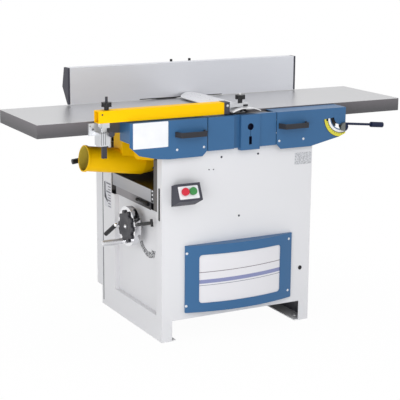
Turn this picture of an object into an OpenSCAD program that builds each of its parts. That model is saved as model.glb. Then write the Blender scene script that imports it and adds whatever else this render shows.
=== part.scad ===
// Combination planer thicknesser: hinged planing tables over a cutterblock, with a
// height-adjustable thicknessing table in the cabinet below.
// Frame: X along the tables towards the infeed end, Y to the back, Z up from the floor.
// The origin is the middle of the four anchor holes, on the floor.

/* [Planing tables] */
// Height of the table tops above the floor
work_h = 890; // [880:1:910]
// Overall length of both tables, end to end
tables_l = 1624; // [1500:1:1700]
// Width of the tables, front to back
table_w = 410; // [404:1:416]
// Thickness of the tables at their edges
table_t = 52; // [48:1:54]
// Thickness of the ground plate over the ribs
plate_t = 16; // [12:1:20]
// Width of the mouth between the two table lips
mouth_w = 64; // [62:1:70]
// How far the tables' middle line lies in front of the cabinet's
table_off_y = 18; // [14:1:20]

/* [Cabinet] */
// Width of the cabinet, left to right
cab_w = 678; // [670:1:700]
// Depth of the cabinet, front to back
cab_d = 579; // [575:1:590]
// Thickness of the cabinet sheet
sheet_t = 3; // [2:0.5:4]
// Height of the open gap under the front panel
foot_gap_h = 84; // [60:1:100]
// Width of each front leg
leg_w = 46; // [36:1:60]
// Width of the floor rails inside the side panels
rail_w = 60; // [50:1:70]
// Radius of the anchor holes in the floor rails
anchor_r = 7; // [5:0.5:9]
// Distance between the anchor holes, front to back
anchor_y = 480; // [400:10:500]
// Height of the edge below the thicknessing throat, with the tables at 890
throat_z = 509; // [500:1:524]
// Depth of the recess in the left side
recess_d = 20; // [12:1:26]

/* [Cutterblock] */
// Diameter of the cutterblock body
cutter_d = 94; // [90:1:96]
// How far the knives stand out of the body
knife_out = 1; // [0.5:0.1:1.5]
// Place of the cutterblock along the tables
cutter_x = 35; // [30:1:40]
// Number of knives
knives = 3; // [2:1:4]
// Radius of the cutterblock's journals
journal_r = 15; // [12:1:18]
// Outer radius of the cutterblock's pulley
pulley_r = 32; // [28:1:33]
// Outer radius of the motor's pulley
motor_pulley_r = 56; // [52:1:60]
// Radius of the feed rollers
roller_r = 19; // [17:0.5:20]

/* [Fence] */
// Length of the fence
fence_l = 1071; // [900:1:1100]
// Height of the fence
fence_h = 147; // [130:1:160]
// Thickness of the end caps
cap_t = 9; // [5:1:15]

/* [Guard] */
// Length of the guard arm
arm_l = 526; // [520:1:550]
// Height of the guard arm
arm_h = 45; // [40:1:50]
// Depth of the guard arm
arm_d = 42; // [36:1:46]
// Width of the guard plate over the cutterblock
guard_w = 124; // [120:1:145]
// Rise of the arched guard plate
guard_rise = 14; // [10:1:16]

/* [Aprons and levers] */
// How far the aprons stand in front of the tables
apron_reach = 89; // [86:1:94]
// Height of the aprons
apron_h = 148; // [140:1:152]
// Length of the lifting handles
handle_l = 130; // [110:1:140]
// Finger room behind the lifting handles
handle_room = 30; // [24:1:40]
// Length of the depth lever from hub to grip end
lever_l = 191; // [160:1:220]

/* [Thicknessing] */
// Thicknesser opening with the table as stored
thickness = 197; // [195:1:205]
// Radius of the column that carries the thicknessing table
ram_r = 55; // [45:1:60]
// Radius of the handwheel
wheel_r = 80; // [70:1:84]
// Outer radius of the extraction port
port_r = 50; // [48:0.5:52]

/* [Hidden] */
$fn = 64;

// Clearances and the overrun of every cut
over = 1;
run_fit = 0.05;
gap = 0.3;
part_gap = 1.5;

// What the head, the throat, the controls and the lift go up by with the tables
std_h = 890;
lift = work_h - std_h;
throat_edge = throat_z + lift;

// Cabinet outline and inner faces
cx0 = -cab_w / 2;
cx1 = cab_w / 2;
cy0 = -cab_d / 2;
cy1 = cab_d / 2;
in_x0 = cx0 + sheet_t;
in_x1 = cx1 - sheet_t;
in_y0 = cy0 + sheet_t;
in_y1 = cy1 - sheet_t;

// Tables
ty0 = -table_off_y - table_w / 2;
ty1 = table_w / 2 - table_off_y;
tz0 = work_h - table_t;
tx0 = -tables_l / 2;
tx1 = tables_l / 2;
mouth_x0 = cutter_x - mouth_w / 2;
mouth_x1 = cutter_x + mouth_w / 2;
rim_t = 18;
rib_t = 12;
lip_t = 5;
lip_run = 56;
pockets_x = 5;
pockets_y = 3;

// Cutterblock axis
knife_r = cutter_d / 2 + knife_out;
cut_z = work_h - knife_r;
cut_low_z = cut_z - knife_r;

// Head castings
head_drop = 125;
panel_top = work_h - head_drop;
cheek_h = 203;
cheek_over = 10;
cheek_z0 = throat_edge + cheek_over;
cheek_z1 = cheek_z0 + cheek_h;
throat_gap = 10;
cheek_in_y = ty0 + throat_gap + over;
head_w0 = 175;
head_w1 = 110;
head_gap = 5;
head_under = 10;
head_top = work_h - head_under;
head_in_y = ty0 - head_gap;
rear_gap = 3;
rear_y0 = ty1 + rear_gap;
rear_t = 25;
rear_y1 = rear_y0 + rear_t;
rear_w0 = 160;
rear_w1 = 115;
rear_under = 44;
rear_top = work_h - rear_under;
boss_wall = 8;

// Bearings and rollers
bearing_w = 18;
bearing_wall = 11;
bearing_out_r = journal_r + bearing_wall;
bearing_in = 4;
journal_front = 30;
roller_dx = 68;
roller_bite = 1;
roller_z = cut_low_z - roller_bite + roller_r;
roller_x0 = cutter_x - roller_dx;
roller_x1 = cutter_x + roller_dx;
roller_journal_r = 12;
roller_grooves = 16;
groove_d = 1.6;

// Drive at the back
belt_w = 22;
drive_out = 18;
drive_y0 = rear_y1 + drive_out;
drive_w = 26;
drive_y1 = drive_y0 + drive_w;
groove_shares = [0.18, 0.5, 0.82];
belt_t = 7;
motor_x = 200;
motor_z = 230;
motor_r = 85;
motor_y0 = -150;
motor_y1 = 190;
motor_shaft_r = 14;
fins = 28;
fin_t = 4;
fin_h = 7;

// Feed chains
chain_w = 5;
chain_t = 6;
chain_out = 2;
chain_apart = 3;
chain_y0 = rear_y1 + chain_out;
chain_y1 = chain_y0 + chain_w + chain_apart;
sprocket_r = 18;
sprocket_w = 4;
sprocket_x = -70;
sprocket_drop = 137;
sprocket_z = cut_z - sprocket_drop;
stub_r = 8;
stub_l = 17;

// Hinges at the back
hinge_back = 49;
hinge_drop = 55;
hinge_y = ty1 + hinge_back;
hinge_z = work_h - hinge_drop;
hinge_r = 20;
hinge_pin_r = 10;
hinge_w = 24;
hinge_xs = [170, 280];
hinge_foot = 110;
hinge_foot_t = 40;

// Aprons and the fixed head cover between them
apron_y = ty0 - apron_reach;
apron_t = 3;
apron_drop = 5;
apron_z1 = work_h - apron_drop;
apron_z0 = apron_z1 - apron_h;
apron_in_x = 156;
apron_out_x = 482;
seam = 4;

// Fence
fence_x0 = -531;
fence_x1 = fence_x0 + fence_l;
fence_back = 18;
fence_lift = 3;
fence_y = ty1 - fence_back;
fence_z = work_h + fence_lift;
fence_wall = 3;
fence_top_t = 41;
fence_max_t = 62;
fence_max_share = 0.453;
fence_foot_t = 10;
tilt_dy = 24;
tilt_dz = 5;
tilt_y = fence_y + tilt_dy;
tilt_z = fence_z + tilt_dz;
tilt_r = 5.5;
tilt_pin_r = 3.5;

// Guard
guard_z = work_h;
arm_x1 = -72;
arm_x0 = arm_x1 - arm_l;
arm_out = 27;
arm_y1 = ty0 - arm_out;
arm_y0 = arm_y1 - arm_d;
post_in = 30;
post_x = arm_x0 + post_in;
post_w = 18;
post_t = 12;
post_y = (arm_y0 + arm_y1) / 2;
post_drop = 135;

// Thicknessing table
thick_z = cut_low_z - thickness;
thick_t = 52;
thick_plate = 20;
thick_front = 18;
thick_back = 3;
thick_y0 = ty0 + thick_front;
thick_y1 = ty1 - thick_back;
thick_end_gap = 2;
wheel_y = -49;
wheel_under = 174;
wheel_z = thick_z - wheel_under;
screw_x = -200;
screw_r = 12;
shaft_r = 10;

// Colours
white = [0.88, 0.885, 0.9];
blue = [0.27, 0.45, 0.63];
cast = [0.36, 0.36, 0.38];
ground = [0.78, 0.78, 0.79];
steel = [0.7, 0.71, 0.73];
black = [0.1, 0.1, 0.11];
dark = [0.23, 0.24, 0.27];
yellow = [1, 0.8, 0];
amber = [0.88, 0.66, 0.04];
red = [0.8, 0.15, 0.2];
green = [0.2, 0.55, 0.3];

// Solids between limits, and bars along each axis
module span(x, y, z) {
    translate([x[0], y[0], z[0]])
        cube([x[1] - x[0], y[1] - y[0], z[1] - z[0]]);
}

module bar_x(x, y, z, r) {
    translate([x[0], y, z])
        rotate([0, 90, 0])
            cylinder(r = r, h = x[1] - x[0]);
}

module bar_y(y, x, z, r) {
    translate([x, y[0], z])
        rotate([-90, 0, 0])
            cylinder(r = r, h = y[1] - y[0]);
}

module bar_z(z, x, y, r) {
    translate([x, y, z[0]])
        cylinder(r = r, h = z[1] - z[0]);
}

// A flat outline drawn in Y and Z, run along X
module slab_x(x) {
    translate([x[0], 0, 0])
        rotate([90, 0, 90])
            linear_extrude(x[1] - x[0])
                children();
}

// A flat outline drawn in X and Z, run along Y
module slab_y(y) {
    translate([0, y[1], 0])
        rotate([90, 0, 0])
            linear_extrude(y[1] - y[0])
                children();
}

// A rectangle with round corners
module round_rect(w, h, r) {
    translate([-w / 2 + r, -h / 2])
        square([w - 2 * r, h]);
    translate([-w / 2, -h / 2 + r])
        square([w, h - 2 * r]);
    for (sx = [-1, 1])
        for (sy = [-1, 1])
            translate([sx * (w / 2 - r), sy * (h / 2 - r)])
                circle(r);
}

// A straight rod between two points
module rod(p, q, r) {
    d = q - p;
    translate(p)
        rotate([0, acos(d[2] / norm(d)), atan2(d[1], d[0])])
            cylinder(r = r, h = norm(d));
}

// A closed belt outline round two circles, as a ring of thickness t outside radii a and b
module loop_2d(p, a, q, b, t) {
    difference() {
        belt_2d(p, a + t, q, b + t);
        belt_2d(p, a, q, b);
    }
}

// Two circles joined by their outer tangents, as one outline with this many steps round each end
belt_steps = 24;
module belt_2d(p, a, q, b) {
    turn = atan2(q[1] - p[1], q[0] - p[0]);
    lean = acos((a - b) / norm(q - p));
    polygon(concat(
        [for (k = [0 : belt_steps])
            let (deg = turn + lean + (360 - 2 * lean) * k / belt_steps)
                p + a * [cos(deg), sin(deg)]],
        [for (k = [0 : belt_steps])
            let (deg = turn - lean + 2 * lean * k / belt_steps)
                q + b * [cos(deg), sin(deg)]]));
}

// A lobed hand knob that stands on its stud, along Z
knob_lobes = 8;
knob_core_share = 0.82;
knob_lobe_share = 0.3;
module lobed_2d(r, lobes) {
    circle(r * knob_core_share);
    for (k = [0 : lobes - 1])
        rotate(k * 360 / lobes)
            translate([r * (1 - knob_lobe_share / 2), 0])
                circle(r * knob_lobe_share / 2);
}

// Cabinet
module front_panel() {
    color(white)
        difference() {
            span([cx0, cx1], [cy0, in_y0], [0, panel_top]);
            span([cx0 + leg_w, cx1 - leg_w], [cy0 - over, in_y0 + over], [-over, foot_gap_h]);
        }
}

throat_front = 40;
throat_y0 = cy0 + throat_front;
recess_front = 48;
recess_back = 136;
recess_y0 = cy0 + recess_front;
recess_y1 = cy1 - recess_back;
recess_z0 = 100;
recess_x = cx0 + recess_d;
lever_slot_w = 24;
lever_slot_h = 84;
wheel_boss_r = 24;
wheel_boss_l = 40;

module side_sheet(x) {
    difference() {
        span(x, [in_y0, in_y1], [0, panel_top]);
        span([x[0] - over, x[1] + over], [throat_y0, ty1], [throat_edge, panel_top + over]);
    }
}

module left_panel() {
    color(white) {
        difference() {
            side_sheet([cx0, in_x0]);
            span([cx0 - over, in_x0 + over], [recess_y0, recess_y1], [recess_z0, throat_edge + over]);
            span([cx0 - over, in_x0 + over],
                [lever_y - lever_slot_w / 2, lever_y + lever_slot_w / 2],
                [lever_wall_z - lever_slot_h / 2, lever_wall_z + lever_slot_h / 2]);
        }
        difference() {
            span([cx0, recess_x + sheet_t], [recess_y0 - sheet_t, recess_y1 + sheet_t],
                [recess_z0 - sheet_t, throat_edge]);
            span([cx0 - over, recess_x], [recess_y0, recess_y1], [recess_z0, throat_edge + over]);
            bar_x([recess_x - over, recess_x + sheet_t + over], wheel_y, wheel_z, shaft_r + run_fit);
        }
        difference() {
            bar_x([recess_x + sheet_t, recess_x + wheel_boss_l], wheel_y, wheel_z, wheel_boss_r);
            bar_x([recess_x, recess_x + wheel_boss_l + over], wheel_y, wheel_z, shaft_r + run_fit);
        }
    }
}

module right_panel() {
    color(white)
        side_sheet([in_x1, cx1]);
}

module rear_panel() {
    color(white)
        span([cx0, cx1], [in_y1, cy1], [0, panel_top]);
}

rail_t = 4;
module base_rails() {
    anchor_x = in_x1 - rail_w / 2;
    color(white)
        for (s = [-1, 1])
            difference() {
                span([s * anchor_x - rail_w / 2, s * anchor_x + rail_w / 2], [in_y0, in_y1], [0, rail_t]);
                for (e = [-1, 1])
                    bar_z([-over, rail_t + over], s * anchor_x, e * anchor_y / 2, anchor_r);
            }
}

cover_w = 169;
cover_d = 52;
cover_z0 = 80;
cover_under = 35;
cover_z1 = panel_top - cover_under;
cover_wall = 2;
module rear_cover() {
    color(white)
        difference() {
            span([cx0, cx0 + cover_w], [cy1, cy1 + cover_d], [cover_z0, cover_z1]);
            span([cx0 + cover_wall, cx0 + cover_w - cover_wall], [cy1 - over, cy1 + cover_d - cover_wall],
                [cover_z0 + cover_wall, cover_z1 - cover_wall]);
        }
}

// Bowed front cover: a sheet that bulges forward, with a framed window
bow_w = 486;
bow_x = 4;
bow_z0 = 111;
bow_z1 = 383;
bow_edge = 8;
bow_sag = 37;
bow_wall = 3;
bow_r = (bow_w * bow_w / 4 + bow_sag * bow_sag) / (2 * bow_sag);
bow_mid_y = cy0 - bow_edge - bow_sag + bow_r;
window_w = 370;
window_h = 197;
window_x = -1;
window_low = 1;
window_z = (bow_z0 + bow_z1) / 2 - window_low;
window_r = 14;
window_lap = 8;
window_t = 2;
bow_fn = 240;

module bow_2d(inset) {
    intersection() {
        translate([bow_x, bow_mid_y])
            circle(bow_r - inset, $fn = bow_fn);
        translate([bow_x - bow_w / 2 + inset, cy0 - bow_edge - bow_sag])
            square([bow_w - 2 * inset, bow_edge + bow_sag + (inset > 0 ? over : 0)]);
    }
}

module bowed_cover() {
    color(blue)
        difference() {
            translate([0, 0, bow_z0])
                linear_extrude(bow_z1 - bow_z0)
                    bow_2d(0);
            translate([0, 0, bow_z0 + bow_wall])
                linear_extrude(bow_z1 - bow_z0 - 2 * bow_wall)
                    bow_2d(bow_wall);
            slab_y([cy0 - bow_edge - bow_sag - over, cy0 - over])
                translate([window_x, window_z])
                    round_rect(window_w, window_h, window_r);
        }
}

module cover_window() {
    color(white)
        intersection() {
            translate([0, 0, window_z - window_h / 2 - window_lap])
                linear_extrude(window_h + 2 * window_lap)
                    difference() {
                        bow_2d(bow_wall + gap);
                        bow_2d(bow_wall + gap + window_t);
                    }
            span([window_x - window_w / 2 - window_lap, window_x + window_w / 2 + window_lap],
                [cy0 - bow_edge - bow_sag, cy0 - gap],
                [bow_z0, bow_z1]);
        }
}

// Switch box: a square box that leans back on the front panel, with two push buttons
switch_x0 = -298;
switch_x1 = -196;
switch_z0_std = 578;
switch_z0 = switch_z0_std + lift;
switch_z1_std = 641;
switch_z1 = switch_z1_std + lift;
switch_top_d = 38.5;
switch_top_fall = 14;
switch_low_d = 68;
switch_low_fall = 33;
switch_tilt = atan((switch_low_d - switch_top_d) / (switch_z1 - switch_z0));
button_r = 15;
button_h = 9;
button_lift = 6;
stem_r = 6;
stem_l = 14;
stop_x = -269;
start_x = -236;
button_z_std = 610;
button_z = button_z_std + lift;
switch_tilt_d = (switch_low_d - switch_top_d) * (switch_z1 - button_z) / (switch_z1 - switch_z0);

// Places a child on the sloping face of the switch box, with Z along its outward normal
module on_switch(x) {
    translate([x, cy0 - switch_top_d - switch_tilt_d, button_z])
        rotate([90 - switch_tilt, 0, 0])
            children();
}

module switch_box() {
    color(dark)
        difference() {
            slab_x([switch_x0, switch_x1])
                polygon([
                    [cy0, switch_z0 - switch_low_fall],
                    [cy0 - switch_low_d, switch_z0],
                    [cy0 - switch_top_d, switch_z1],
                    [cy0, switch_z1 - switch_top_fall],
                ]);
            for (x = [stop_x, start_x])
                on_switch(x)
                    translate([0, 0, -stem_l - button_lift])
                        cylinder(r = stem_r + gap, h = stem_l + 2 * button_lift);
        }
}

module push_button(x) {
    on_switch(x) {
        translate([0, 0, button_lift])
            cylinder(r = button_r, h = button_h);
        translate([0, 0, -stem_l])
            cylinder(r = stem_r, h = stem_l + button_lift);
    }
}

module stop_button() {
    color(red)
        push_button(stop_x);
}

module start_button() {
    color(green)
        push_button(start_x);
}

// Head: two cheeks that carry the cutterblock and the feed rollers
hood_pin_r = 8;
hood_mouth_x0 = -165;
hood_mouth_x1 = -122;
hood_pin_front = 12;
hood_pin_back = 25;
hood_y0 = cheek_in_y + hood_pin_front;
hood_y1 = rear_y0 - hood_pin_back;
hood_pin_x = (hood_mouth_x0 + hood_mouth_x1) / 2;
hood_pin_under = 14;
hood_pin_z = cheek_z1 - hood_pin_under;
kick_x = -85;
kick_drop = 20;
kick_z = cut_z - kick_drop;
kick_r = 8;

module front_cheek() {
    color(cast) {
        difference() {
            union() {
                span([in_x0, in_x1], [in_y0, cheek_in_y], [cheek_z0, cheek_z1]);
                span([cutter_x - head_w0, cutter_x + head_w1], [in_y0, head_in_y], [cheek_z1 - over, head_top]);
            }
            bar_y([head_in_y - bearing_in - bearing_w, head_in_y + over], cutter_x, cut_z, bearing_out_r + run_fit);
            bar_y([head_in_y - bearing_in - bearing_w - part_gap, head_in_y], cutter_x, cut_z,
                journal_r + part_gap);
            for (x = [roller_x0, roller_x1])
                bar_y([head_in_y - journal_front, head_in_y + over], x, roller_z, roller_journal_r + run_fit);
        }
        bar_y([cheek_in_y, hood_y0], hood_pin_x, hood_pin_z, hood_pin_r);
    }
}

module rear_cheek() {
    color(cast) {
        difference() {
            union() {
                span([in_x0, in_x1], [rear_y0, rear_y1], [cheek_z0, cheek_z1]);
                span([cutter_x - rear_w0, cutter_x + rear_w1], [rear_y0, rear_y1], [cheek_z1 - over, rear_top]);
                bar_y([rear_y0, rear_y1], cutter_x, cut_z, bearing_out_r + boss_wall);
            }
            bar_y([rear_y0 - over, rear_y1 - bearing_in], cutter_x, cut_z, bearing_out_r + run_fit);
            bar_y([rear_y0, rear_y1 + over], cutter_x, cut_z, journal_r + part_gap);
            for (x = [roller_x0, roller_x1])
                bar_y([rear_y0 - over, rear_y1 + over], x, roller_z, roller_journal_r + run_fit);
        }
        bar_y([rear_y1, rear_y1 + stub_l], sprocket_x, sprocket_z, stub_r);
        bar_y([rear_y1, rear_y1 + stub_l], lever_x, lever_z, stub_r);
        bar_y([hood_y1, rear_y0], hood_pin_x, hood_pin_z, hood_pin_r);
    }
}

// Fixed head cover between the aprons, with its column, groove and openings
cover_step = 12;
column_x0 = -8;
column_x1 = 77;
groove_x0 = -37;
head_low = 18;
column_low = 9;
column_out = 3;
right_back = 2;
peep_r = 13.5;
peep_dz = -5;
peep_d = 16;
slot_w = 13;
slot_z0 = 30;
slot_z1 = 62;
slit_w = 2;
module head_cover() {
    z0 = apron_z0 + head_low;
    zc = apron_z0 + column_low;
    x0 = -apron_in_x + seam;
    x1 = apron_in_x - seam / 2;
    mid_x = (column_x0 + column_x1) / 2;
    color(blue)
        difference() {
            union() {
                span([x0, x1], [apron_y + cover_step, cy0 - gap], [z0, apron_z1]);
                span([x0, x1], [cy0 - over, in_y0], [panel_top + gap, apron_z1]);
                span([x0, groove_x0], [apron_y, cy0 - over], [z0, apron_z1]);
                span([column_x0, column_x1], [apron_y - column_out, cy0 - gap], [zc, apron_z1]);
                span([column_x1 - over, x1], [apron_y + right_back, cy0 - over], [z0, apron_z1]);
            }
            bar_y([apron_y - column_out - over, apron_y + peep_d], mid_x, cut_z + peep_dz, peep_r);
            span([mid_x - slot_w / 2, mid_x + slot_w / 2],
                [apron_y - column_out - over, apron_y + peep_d],
                [apron_z0 + slot_z0, apron_z0 + slot_z1]);
            span([mid_x - slit_w / 2, mid_x + slit_w / 2],
                [apron_y - column_out - over, apron_y],
                [apron_z0 + slot_z1 - over, cut_z + peep_dz]);
        }
}

// Sheet cover over the cutterblock's pulley, between the two tables
pulley_room = 10;
pulley_front = 2;
pulley_sheet = 2;
pulley_shoulder = 24;
pulley_skirt = 31;

// The cover's outline, which widens with the belt on its way down to the motor
module pulley_cover_2d(in) {
    r = pulley_r + pulley_room;
    low = in > 0 ? panel_top - over : panel_top + gap;
    polygon([
        [cutter_x - r + in, low],
        [cutter_x - r + in, cut_z + r - in],
        [cutter_x + r - in, cut_z + r - in],
        [cutter_x + r - in, cut_z + pulley_shoulder],
        [cutter_x + r + pulley_skirt - in, low],
    ]);
}

module pulley_cover() {
    r = pulley_r + pulley_room;
    y1 = drive_y1 + pulley_front + pulley_sheet;
    color(white) {
        difference() {
            slab_y([drive_y0 - pulley_front, y1])
                pulley_cover_2d(0);
            slab_y([drive_y0 - pulley_front - over, y1 - pulley_sheet])
                pulley_cover_2d(pulley_sheet);
        }
        span([cutter_x - r, cutter_x + r], [y1 - pulley_sheet, in_y1],
            [panel_top - pulley_room, panel_top + pulley_sheet]);
    }
}

module hinge_brackets() {
    color(cast)
        for (s = [-1, 1])
            for (h = hinge_xs) {
                x = s > 0 ? [h - hinge_w, h] : [-h, -h + hinge_w];
                slab_x(x)
                    difference() {
                        union() {
                            translate([hinge_y, hinge_z])
                                circle(hinge_r);
                            polygon([
                                [hinge_y - hinge_r, hinge_z],
                                [hinge_y - hinge_r, hinge_z - hinge_foot / 2],
                                [in_y1 - hinge_foot_t, hinge_z - hinge_foot],
                                [in_y1, hinge_z - hinge_foot],
                                [in_y1, hinge_z - hinge_foot / 2],
                                [hinge_y + hinge_r, hinge_z],
                            ]);
                        }
                    }
                bar_x(s > 0 ? [h, h + hinge_w + hinge_r / 2] : [-h - hinge_w - hinge_r / 2, -h],
                    hinge_y, hinge_z, hinge_pin_r);
            }
}

// The eye and arm by which a table hangs on a hinge pin
lug_share = 0.9;
lug_nose = 5;
module hinge_lug(h, s, y0, z1) {
    x = s > 0 ? [h + part_gap, h + part_gap + hinge_w] : [-h - part_gap - hinge_w, -h - part_gap];
    difference() {
        slab_x(x) {
            translate([hinge_y, hinge_z])
                circle(hinge_r);
            polygon([
                [y0, z1],
                [y0, hinge_z - hinge_r * lug_share],
                [hinge_y, hinge_z - hinge_r * lug_share],
                [hinge_y, hinge_z + hinge_r * lug_share],
                [ty1 + lug_nose, z1],
            ]);
        }
        bar_x([x[0] - over, x[1] + over], hinge_y, hinge_z, hinge_pin_r + run_fit);
    }
}

// Cutterblock, knives and bearings
gullet_share = 0.16;
knife_t = 4;
knife_h = 20;
module cutterblock() {
    color(steel) {
        difference() {
            bar_y([ty0 + over, ty1 - over], cutter_x, cut_z, cutter_d / 2);
            for (k = [0 : knives - 1])
                translate([cutter_x, 0, cut_z])
                    rotate([0, k * 360 / knives, 0]) {
                        span([-knife_t / 2, knife_t / 2], [ty0, ty1],
                            [cutter_d / 2 - knife_h, cutter_d]);
                        bar_y([ty0, ty1], knife_t * 2, cutter_d / 2, cutter_d * gullet_share / 2);
                    }
        }
        bar_y([head_in_y - bearing_in - bearing_w, ty0 + over], cutter_x, cut_z, journal_r);
        bar_y([ty1 - over, drive_y1], cutter_x, cut_z, journal_r);
        translate([cutter_x, drive_y0, cut_z])
            grooved_pulley(pulley_r);
    }
}

// A two-groove pulley along Y from its front face
groove_depth = 6;
groove_half = 5;
module grooved_pulley(r) {
    rotate([-90, 0, 0])
        rotate_extrude()
            difference() {
                square([r, drive_w]);
                for (s = [groove_shares[0], groove_shares[2]])
                    translate([r, drive_w * s])
                        polygon([
                            [-groove_depth, -groove_half / 2],
                            [over, -groove_half],
                            [over, groove_half],
                            [-groove_depth, groove_half / 2],
                        ]);
            }
}

module cutter_knives() {
    color(ground)
        for (k = [0 : knives - 1])
            translate([cutter_x, 0, cut_z])
                rotate([0, k * 360 / knives, 0])
                    span([-knife_t / 2, knife_t / 2], [ty0 + over, ty1 - over],
                        [cutter_d / 2 - knife_h, knife_r - gap]);
}

module bearing(y) {
    difference() {
        bar_y(y, cutter_x, cut_z, bearing_out_r);
        bar_y([y[0] - over, y[1] + over], cutter_x, cut_z, journal_r + run_fit);
    }
}

module cutter_bearings() {
    color(steel) {
        bearing([head_in_y - bearing_in - bearing_w, head_in_y - bearing_in]);
        bearing([rear_y0 + over, rear_y0 + over + bearing_w]);
    }
}

// Motor, its pulley and the belt
motor_foot_w = 120;
motor_foot_y = 60;
motor_cap = 20;
module motor() {
    color(dark) {
        difference() {
            union() {
                bar_y([motor_y0, motor_y1], motor_x, motor_z, motor_r - fin_h);
                for (k = [0 : fins - 1])
                    translate([motor_x, 0, motor_z])
                        rotate([0, k * 360 / fins, 0])
                            span([-fin_t / 2, fin_t / 2], [motor_y0 + motor_cap, motor_y1 - motor_cap],
                                [motor_r - 2 * fin_h, motor_r]);
                span([motor_x - motor_foot_w / 2, motor_x + motor_foot_w / 2],
                    [sleeve_y - motor_foot_y, sleeve_y + motor_foot_y], [beam_z1, motor_z - motor_r / 2]);
            }
            bar_y([motor_y1 - motor_cap, motor_y1 + over], motor_x, motor_z, motor_shaft_r + run_fit);
        }
    }
}

module motor_pulley() {
    color(steel) {
        bar_y([motor_y1 - motor_cap + gap, drive_y1], motor_x, motor_z, motor_shaft_r);
        translate([motor_x, drive_y0, motor_z])
            grooved_pulley(motor_pulley_r);
    }
}

module drive_belt() {
    color(black)
        slab_y([drive_y0 + drive_w / 2 - belt_w / 2, drive_y0 + drive_w / 2 + belt_w / 2])
            loop_2d([cutter_x, cut_z], pulley_r + gap, [motor_x, motor_z], motor_pulley_r + gap, belt_t);
}

// Feed rollers with their sprockets, and the chains
module feed_roller(x, y_end) {
    difference() {
        bar_y([ty0 + over, ty1 - over], x, roller_z, roller_r);
        for (k = [0 : roller_grooves - 1])
            translate([x, 0, roller_z])
                rotate([0, k * 360 / roller_grooves, 0])
                    span([-groove_d, groove_d], [ty0, ty1], [roller_r - groove_d, roller_r + over]);
    }
    bar_y([head_in_y - journal_front + bearing_in, ty0 + over], x, roller_z, roller_journal_r);
    bar_y([ty1 - over, y_end], x, roller_z, roller_journal_r);
}

module chain_wheel(x, z, y) {
    bar_y([y + chain_w / 2 - sprocket_w / 2, y + chain_w / 2 + sprocket_w / 2], x, z, sprocket_r);
}

module infeed_roller() {
    color(steel) {
        feed_roller(roller_x0, chain_y0 + chain_w);
        chain_wheel(roller_x0, roller_z, chain_y0);
    }
}

module outfeed_roller() {
    color(steel) {
        feed_roller(roller_x1, chain_y1 + chain_w);
        chain_wheel(roller_x1, roller_z, chain_y1);
    }
}

module feed_sprocket() {
    color(steel)
        difference() {
            union() {
                bar_y([rear_y1 + gap, chain_y1 + chain_w], sprocket_x, sprocket_z, stub_r + chain_t);
                chain_wheel(sprocket_x, sprocket_z, chain_y0);
                chain_wheel(sprocket_x, sprocket_z, chain_y1);
            }
            bar_y([rear_y1, chain_y1 + chain_w + over], sprocket_x, sprocket_z, stub_r + run_fit);
        }
}

module feed_chains() {
    color(dark)
        for (c = [[roller_x0, chain_y0], [roller_x1, chain_y1]])
            slab_y([c[1], c[1] + chain_w])
                loop_2d([c[0], roller_z], sprocket_r + gap, [sprocket_x, sprocket_z], sprocket_r + gap, chain_t);
}

// Feed lever at the back left, with its grip
lever_x = -120;
lever_z_std = 690;
lever_z = lever_z_std + lift;
lever_out = 9;
lever_y = rear_y1 + lever_out;
lever_reach = 376;
lever_fall = 43;
lever_rod_r = 5;
lever_grip_r = 11;
lever_grip_share = 0.11;
lever_hub_r = 14;
lever_hub_t = 12;
lever_wall_z = lever_z + lever_fall * (cx0 - lever_x) / lever_reach;
module feed_lever() {
    p = [lever_x, lever_y, lever_z];
    q = p + [-lever_reach, 0, -lever_fall];
    color(black)
        difference() {
            union() {
                bar_y([lever_y - lever_hub_t / 2, lever_y + lever_hub_t / 2], lever_x, lever_z, lever_hub_r);
                rod(p, q, lever_rod_r);
                rod(q + (p - q) * lever_grip_share, q, lever_grip_r);
            }
            bar_y([lever_y - lever_hub_t, lever_y + lever_hub_t], lever_x, lever_z, stub_r + run_fit);
        }
}

// Anti-kickback fingers on their shaft
finger_t = 10;
finger_pitch = 16;
finger_l = 50;
finger_eye = 13;
finger_tip = 5;
finger_side_gap = 12;
module kickback_shaft() {
    color(steel)
        bar_y([head_in_y, rear_y0], kick_x, kick_z, kick_r);
}

// What the cheeks hold still: bearings, feed chains and the kickback shaft, each a solid of its own.
module head_fittings() {
    cutter_bearings();
    feed_chains();
    kickback_shaft();
}

module kickback_fingers() {
    count = floor((table_w - 2 * finger_side_gap) / finger_pitch);
    start = -table_off_y - (count - 1) * finger_pitch / 2 - finger_t / 2;
    color(cast)
        difference() {
            for (k = [0 : count - 1])
                slab_y([start + k * finger_pitch, start + k * finger_pitch + finger_t])
                    translate([kick_x, kick_z]) {
                        circle(finger_eye);
                        polygon([
                            [-finger_eye, 0],
                            [finger_eye, 0],
                            [finger_tip, -finger_l],
                            [-finger_tip, -finger_l],
                        ]);
                    }
            bar_y([ty0, ty1], kick_x, kick_z, kick_r + run_fit);
        }
}

// Dust hood: a tilted tube with a neck and a chute up to the cutterblock
port_x = -530;
port_y = 20;
port_z_std = 700;
port_z = port_z_std + lift;
port_tilt = 8;
hood_wall = 2;
hood_tube_l = 300;
neck_x0 = -381;
neck_x1 = -330;
neck_in = 8;
neck_y0 = port_y - port_r + neck_in;
neck_y1 = port_y + port_r - neck_in;
neck_z1_std = 806;
neck_z1 = neck_z1_std + lift;
neck_slope = 45;
chute_z0_std = 688;
chute_z0 = chute_z0_std + lift;
chute_z1_std = 790;
chute_z1 = chute_z1_std + lift;
chute_fn = 32;
port_seat = 70;
hood_end_share = 0.72;
bead = 3;
bead_l = 9;
port_step = 1;

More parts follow.
